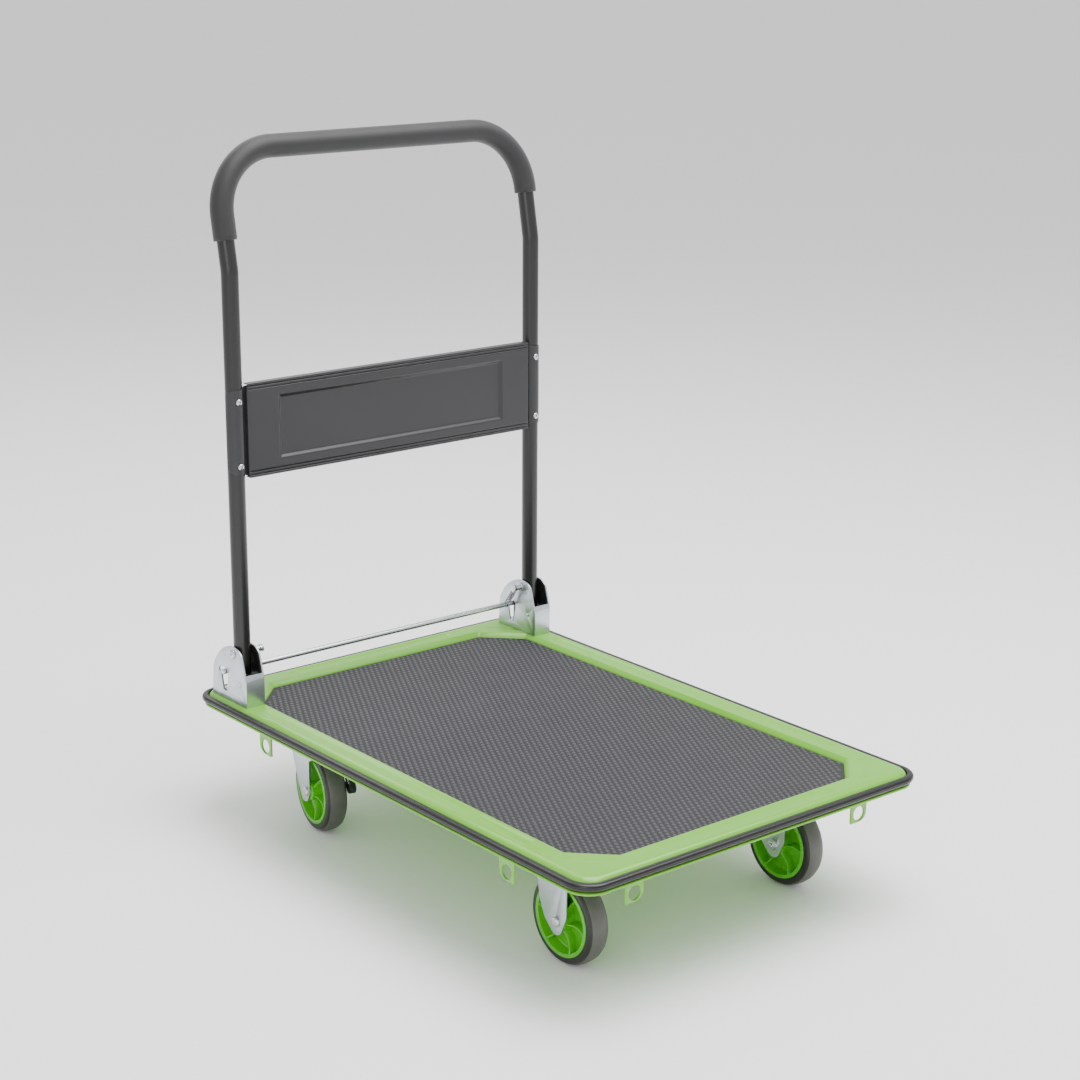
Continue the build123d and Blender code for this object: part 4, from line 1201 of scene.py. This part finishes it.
# ---------------------------------------------------------------- brackets and lock
@dataclass
class BracketsAndLock:
    """The two handle brackets with liners, pivot bolts, stop pins, lock bar and springs."""

    coil_radius: float = 3.6
    wire: float = 0.6
    turns: float = 11.0
    hook: float = 7.5
    thin_nut: float = 4.0

    def coil_rule(self) -> bpy.types.NodeTree:
        """A rule that winds a wire into a coil along a direction."""
        tree, given = new_rule("tension_coil", [
            ("Turns", "NodeSocketFloat"), ("Radius", "NodeSocketFloat"), ("Length", "NodeSocketFloat"),
            ("Wire", "NodeSocketFloat"), ("Start", "NodeSocketVector"), ("Along", "NodeSocketVector")])
        spiral = add(tree, "GeometryNodeCurveSpiral", None,
                     {"Resolution": 20, "Rotations": given["Turns"], "Start Radius": given["Radius"],
                      "End Radius": given["Radius"], "Height": given["Length"]})
        ring = add(tree, "GeometryNodeCurvePrimitiveCircle", None, {"Resolution": 8, "Radius": given["Wire"]})
        wire = add(tree, "GeometryNodeCurveToMesh", None,
                   {"Curve": spiral.outputs[0], "Profile Curve": ring.outputs["Curve"], "Fill Caps": True})
        aim = add(tree, "FunctionNodeAlignRotationToVector", {"axis": "Z"}, {"Vector": given["Along"]})
        placed = add(tree, "GeometryNodeTransform", None,
                     {"Geometry": wire.outputs[0], "Translation": given["Start"], "Rotation": aim.outputs[0]})
        return end_rule(tree, placed.outputs[0], SPRING_WIRE)

    def spring(self, hand: Hand, pivot: np.ndarray, bar: np.ndarray) -> bpy.types.Object:
        """One tension spring: a close coil with a hook over the pivot bolt and one under the bar."""
        low, high = box_mm(f"lock_spring_{hand.word}")
        y = (low[1] + high[1]) / 2
        start, end = np.array([pivot[0], y, pivot[2]]), np.array([bar[0], y, bar[2]])
        span = np.linalg.norm(end - start)
        along = (end - start) / span
        first, last = start + along * self.hook, end - along * self.hook
        values = {"Turns": self.turns, "Radius": self.coil_radius * MM, "Length": (span - 2 * self.hook) * MM,
                  "Wire": self.wire * MM, "Start": tuple(first * MM), "Along": tuple(along)}
        coil = grow(f"coil_{hand.word}", bpy.data.meshes.new("coil"), self.coil_rule(), values)
        side = np.array([along[2], 0.0, -along[0]])
        hooks = []
        for tip, centre, away in ((first, start, -along), (last, end, along)):
            ring = self.coil_radius + 1.2
            path = [tip + side * self.coil_radius, tip + away * 1.5 + side * self.coil_radius]
            for i in range(13):
                a = math.pi * 1.35 * i / 12
                path.append(centre + side * ring * math.cos(a) + away * ring * math.sin(a))
            points, faces = tube(np.array(path), self.wire, 8)
            hooks.append(solid(f"hook_{hand.word}_{len(hooks)}", points, faces, [SPRING_WIRE], 60))
        return joined(f"lock_spring_{hand.word}_wound", [coil, *hooks])

    def build(self) -> None:
        """Builds the bracket pieces and fixes them to the frame."""
        deck = Body.DECK
        for hand in Hand:
            dress(f"handle_bracket_{hand.word}", ZINC, 0.5, deck, "zinc")
        dress("bracket_liners", NYLON, 0.25, deck, "black_nylon")
        dress("stop_pins", ZINC_BRIGHT, 0.3, deck, "zinc")
        dress("lock_bar", ZINC_BRIGHT, 0.2, Body.LOCK, "zinc")
        low, high = box_mm("lock_bar")
        bar = (low + high) / 2
        bolts = islands("pivot_bolts")
        pieces = [refine("pivot_bolts", ZINC_BRIGHT, 0.3)]
        places, facings = [], []
        for hand, (a, b) in zip(Hand, bolts):
            outside = a[1] if hand is Hand.RIGHT else b[1]
            places.append(((a[0] + b[0]) / 2, outside - hand.value * 2.2, (a[2] + b[2]) / 2))
            facings.append((0, hand.value, 0))
        form = domed_form("pivot_form", 7.2, 3.4, 2.6, ZINC_BRIGHT)
        pieces.append(Repeated(form, ZINC_BRIGHT).set_at("pivot_domes", places, facings))
        fit(joined("pivot_bolt_set", pieces), deck, "zinc", "pivot_bolts")
        nuts = islands("pivot_nuts")
        places = [((a[0] + b[0]) / 2, a[1] if h is Hand.RIGHT else b[1], (a[2] + b[2]) / 2)
                  for h, (a, b) in zip(Hand, nuts)]
        form = hex_form("pivot_nut_form", M8_FLATS, self.thin_nut, M8_RADIUS, ZINC_BRIGHT)
        done = Repeated(form, ZINC_BRIGHT).set_at("pivot_nut_set", places, [(0, -h.value, 0) for h in Hand])
        fit(done, deck, "zinc", "pivot_nuts")
        for hand, (a, b) in zip(Hand, bolts):
            pivot = (a + b) / 2
            piece = self.spring(hand, pivot, bar)
            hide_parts(f"lock_spring_{hand.word}")
            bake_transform(piece)
            LOG.info("%s stretches from bolt to bar", piece.name)


# ---------------------------------------------------------------- casters
@dataclass
class Wheel:
    """A wheel of 125 mm: moulded hub with ribs, and an elastic tyre."""

    radius: float = 62.5
    rim: float = 50.8
    half_rim: float = 17.0
    half_tyre: float = 16.0
    crown: float = 7.4
    boss: float = 14.0
    half_boss: float = 20.5
    bore: float = 7.55
    web: float = 2.5
    ribs: int = 6

    def place(self, spot: np.ndarray, axis: np.ndarray) -> Matrix:
        """The matrix that carries a wheel from the origin to its axle."""
        turn = Vector((0, 1, 0)).rotation_difference(Vector(axis)).to_matrix().to_4x4()
        return Matrix.Translation(Vector(spot) * MM) @ turn

    def tyre(self, name: str) -> bpy.types.Object:
        """The tyre: flat sides, a shoulder line and a crowned rolling face."""
        half, top = self.half_tyre, self.radius
        side = [(self.rim - 0.4, half - 0.8), (self.rim + 0.4, half - 0.1), (self.rim + 1.6, half),
                (top - 7.6, half - 0.05)]
        for share in (0.994, 0.98, 0.95, 0.91, 0.86, 0.79, 0.7, 0.58, 0.42, 0.22, 0.0):
            side.append((top - self.crown * (1 - (1 - share ** 2.2) ** 0.45), (half - 0.1) * share))
        profile = side + [(r, -y) for r, y in side[-2::-1]]
        profile += [(self.rim - 1.2, -half + 1.6), (self.rim - 1.2, half - 1.6)]
        points, faces = turned(profile, 112)
        piece = solid(name, points, faces, [TYRE_SIDE, TYRE_TREAD_DUST_AND_HIGHLIGHT], 28)
        # Faces near the crown take the paler tread finish: floor dust and a painted highlight.
        limit = (top - 2.6) * MM
        for face in piece.data.polygons:
            reach = math.hypot(face.center.x, face.center.z)
            face.material_index = 1 if reach > limit else 0
        return piece

    def rib_form(self) -> bpy.types.Object:
        """One thin rib, standing on the web along +X, swept a little sideways and dipping in its middle."""
        rings = []
        inner, outer = self.boss - 1.5, self.rim - 5.2
        for i in range(15):
            t = i / 14
            r = inner + (outer - inner) * t
            side = 3.4 * math.sin(math.pi * t)
            top = 17.2 - 1.6 * t - 1.9 * math.sin(math.pi * t)
            flare = abs(2 * t - 1) ** 6
            foot, neck = 2.2 + 1.6 * flare, 1.1 + 0.9 * flare
            rings.append(np.array([(r, side - foot, self.web - 0.4), (r, side + foot, self.web - 0.4),
                                   (r, side + foot * 0.62, self.web + 1.0), (r, side + neck * 1.1, self.web + 3.0),
                                   (r, side + neck * 0.9, top - 0.4), (r, side + neck * 0.55, top),
                                   (r, side - neck * 0.55, top), (r, side - neck * 0.9, top - 0.4),
                                   (r, side - neck * 1.1, self.web + 3.0), (r, side - foot * 0.62, self.web + 1.0)]))
        points, faces = skin(rings)
        return solid("hub_rib_form", points, faces, [HUB_PP], 45)

    def ribs_rule(self) -> bpy.types.NodeTree:
        """A rule that turns copies of a rib about the axle, on both faces of the web."""
        tree, given = new_rule("hub_ribs", [("Rib", "NodeSocketObject"), ("Count", "NodeSocketInt"),
                                            ("Phase", "NodeSocketFloat")])
        copy = add(tree, "GeometryNodeObjectInfo", None, {"Object": given["Rib"]})
        sides = []
        for tip in (-math.pi / 2, math.pi / 2):
            index = add(tree, "GeometryNodeInputIndex").outputs[0]
            share = add(tree, "ShaderNodeMath", {"operation": "DIVIDE"}, {0: math.tau, 1: given["Count"]})
            angle = add(tree, "ShaderNodeMath", {"operation": "MULTIPLY_ADD"},
                        {0: index, 1: share.outputs[0], 2: given["Phase"]})
            turn = add(tree, "ShaderNodeCombineXYZ", None, {"X": tip, "Y": angle.outputs[0]})
            cloud = add(tree, "GeometryNodePoints", None, {"Count": given["Count"]})
            placed = add(tree, "GeometryNodeInstanceOnPoints", None,
                         {"Points": cloud.outputs[0], "Instance": copy.outputs["Geometry"],
                          "Rotation": turn.outputs[0]})
            sides.append(placed.outputs[0])
        both = add(tree, "GeometryNodeJoinGeometry", None, {0: sides[0]})
        tree.links.new(sides[1], both.inputs[0])
        return end_rule(tree, both.outputs[0], HUB_PP)

    def hub(self, name: str, phase: float) -> bpy.types.Object:
        """The hub: rim with a flat ring face, thin web, boss and ribs."""
        rim, half, web = self.rim, self.half_rim, self.web
        side = [(rim - 1.0, half - 1.6), (rim - 0.2, half - 0.9), (rim - 0.5, half - 0.2), (rim - 1.0, half),
                (rim - 5.0, half), (rim - 5.6, half - 0.5), (rim - 6.4, half - 4), (rim - 7.4, web + 4.0),
                (rim - 8.4, web + 1.4), (rim - 10.2, web + 0.2), (self.boss + 4.5, web),
                (self.boss + 1.8, web + 0.8), (self.boss + 0.7, web + 3.0),
                (self.boss, self.half_boss - 1.2), (self.boss - 0.9, self.half_boss), (self.bore + 0.6, self.half_boss),
                (self.bore, self.half_boss - 0.6)]
        profile = side + [(r, -y) for r, y in side[::-1]]
        points, faces = turned(profile, 120)
        body = solid(f"{name}_body", points, faces, [HUB_PP], 32)
        form = self.rib_form()
        ribs = grow(f"{name}_ribs", bpy.data.meshes.new("ribs"), self.ribs_rule(),
                    {"Rib": form, "Count": self.ribs, "Phase": phase})
        bpy.data.objects.remove(form)
        ribs.data.set_sharp_from_angle(angle=math.radians(50))
        return joined(name, [body, ribs])

    def build(self, end: str, hand: Hand, phase: float) -> None:
        """Builds one wheel on its axle."""
        joint = joint_named(f"{end}_wheel_{hand.word}_spin")
        carry = self.place(np.array(joint["pos_m"]) / MM, np.array(joint["axis"]))
        body = f"{end}_wheel_{hand.word}"
        for piece, slot, node in ((self.tyre(f"{body}_tyre"), "tyre_rubber", f"{end}_tyre_{hand.word}"),
                                  (self.hub(f"{body}_hub", phase), "hub_plastic", f"{end}_hub_{hand.word}")):
            piece.data.transform(carry)
            fit(piece, body, slot, node)


@dataclass
class Casters:
    """The fixed front casters, the braked swivel rear casters and their wheels."""

    wheel: Wheel = field(default_factory=Wheel)

    def build(self) -> None:
        """Builds all four casters."""
        deck = Body.DECK
        phases = {("front", Hand.RIGHT): 0.15, ("front", Hand.LEFT): 0.02,
                  ("rear", Hand.RIGHT): 0.4, ("rear", Hand.LEFT): 0.7}
        for (end, hand), phase in phases.items():
            self.wheel.build(end, hand, phase)
        for hand in Hand:
            word = hand.word
            dress(f"front_fork_{word}", ZINC, 0.5, deck, "zinc")
            dress(f"caster_plate_{word}", ZINC, 0.4, deck, "zinc")
            dress(f"swivel_fork_{word}", ZINC, 0.5, f"swivel_{word}", "zinc")
            self.balls(hand)
            for node in ("rear_axle_bolt", "rear_axle_nut", "rear_axle_sleeve", "brake_pin"):
                dress(f"{node}_{word}", ZINC_BRIGHT, 0.25, f"swivel_{word}", "zinc")
            dress(f"brake_lever_{word}", ZINC_BRIGHT, 0.4, f"brake_{word}", "zinc")
            dress(f"brake_pedal_{word}", NYLON, 0.8, f"brake_{word}", "black_nylon")
        for node in ("front_axle_bolts", "front_axle_nuts", "front_axle_sleeves", "kingpins"):
            dress(node, ZINC_BRIGHT, 0.3, deck, "zinc")

    def balls(self, hand: Hand) -> None:
        """The ring of bearing balls of one swivel head."""
        node = f"swivel_balls_{hand.word}"
        boxes = islands(node)
        radius = (boxes[0][1][2] - boxes[0][0][2]) / 2
        profile = [(radius * math.sin(a), -radius * math.cos(a)) for a in np.linspace(0.001, math.pi - 0.001, 12)]
        points, faces = skin([lift(unit_circle(20) * r, y) for r, y in profile])
        form = solid("ball_form", points, faces, [SPRING_WIRE], 60)
        places = [(a + b) / 2 for a, b in boxes]
        done = Repeated(form, SPRING_WIRE).set_at(f"{node}_ring", places, [(0, 0, 1)] * len(boxes))
        fit(done, Body.DECK, "spring_steel", node)


# ---------------------------------------------------------------- studio
@dataclass(frozen=True)
class Studio:
    """Plain pale floor, soft light and the camera."""

    eye: tuple[float, float, float] = (2.34021, -1.9194, 1.32764)
    azimuth: float = 50.71
    elevation: float = 15.85
    roll: float = 0.25
    lens: float = 74.97

    def camera(self) -> None:
        """Sets the camera at its viewing angle."""
        a, e, r = (math.radians(v) for v in (self.azimuth, self.elevation, self.roll))
        back = Vector((math.sin(a) * math.cos(e), -math.cos(a) * math.cos(e), math.sin(e)))
        right = Vector((0, 0, 1)).cross(back).normalized()
        up = back.cross(right)
        across, above = right * math.cos(r) + up * math.sin(r), up * math.cos(r) - right * math.sin(r)
        data = bpy.data.cameras.new("camera")
        data.lens, data.sensor_width = self.lens, 36.0
        camera = link("camera", data)
        turn = Matrix((across, above, back)).transposed().to_4x4()
        camera.matrix_world = Matrix.Translation(self.eye) @ turn
        bpy.context.scene.camera = camera

    def floor(self) -> None:
        """A wide pale floor."""
        mesh = bpy.data.meshes.new("floor")
        mesh.from_pydata([(-30, -30, 0), (30, -30, 0), (30, 30, 0), (-30, 30, 0)], [], [(0, 1, 2, 3)])
        floor = link("floor", mesh)
        material = bpy.data.materials.new("studio_floor")
        material.use_nodes = True
        shader = material.node_tree.nodes["Principled BSDF"]
        shader.inputs["Base Color"].default_value = linear("#FAFAFA")
        shader.inputs["Roughness"].default_value = 0.85
        mesh.materials.append(material)

    def light(self, name: str, at: tuple[float, float, float], size: float, power: float) -> None:
        """One square soft light aimed at the deck."""
        data = bpy.data.lights.new(name, "AREA")
        data.size, data.energy = size, power
        lamp = link(name, data)
        lamp.location = at
        lamp.rotation_euler = (Vector((0, 0, 0.4)) - Vector(at)).to_track_quat("-Z", "Y").to_euler()

    def build(self) -> None:
        """Builds the studio."""
        self.camera()
        self.floor()
        world = bpy.data.worlds.new("studio")
        world.use_nodes = True
        world.node_tree.nodes["Background"].inputs["Color"].default_value = (1.0, 1.0, 1.0, 1.0)
        world.node_tree.nodes["Background"].inputs["Strength"].default_value = 1.05
        bpy.context.scene.world = world
        self.light("key", (0.5, 0.5, 3.2), 2.8, 175.0)
        self.light("fill", (2.2, -3.0, 1.8), 1.6, 25.0)
        self.light("back", (-2.8, 0.6, 2.8), 2.0, 30.0)


def main() -> None:
    """Builds the trolley's pieces in order."""
    logging.basicConfig(level=logging.INFO, format="%(name)s: %(message)s")
    FRAME.update(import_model())
    Studio().build()
    for part in (Deck(), Handle(), BracketsAndLock(), Casters()):
        LOG.info("building %s", type(part).__name__)
        part.build()


if __name__ == "__main__":
    main()
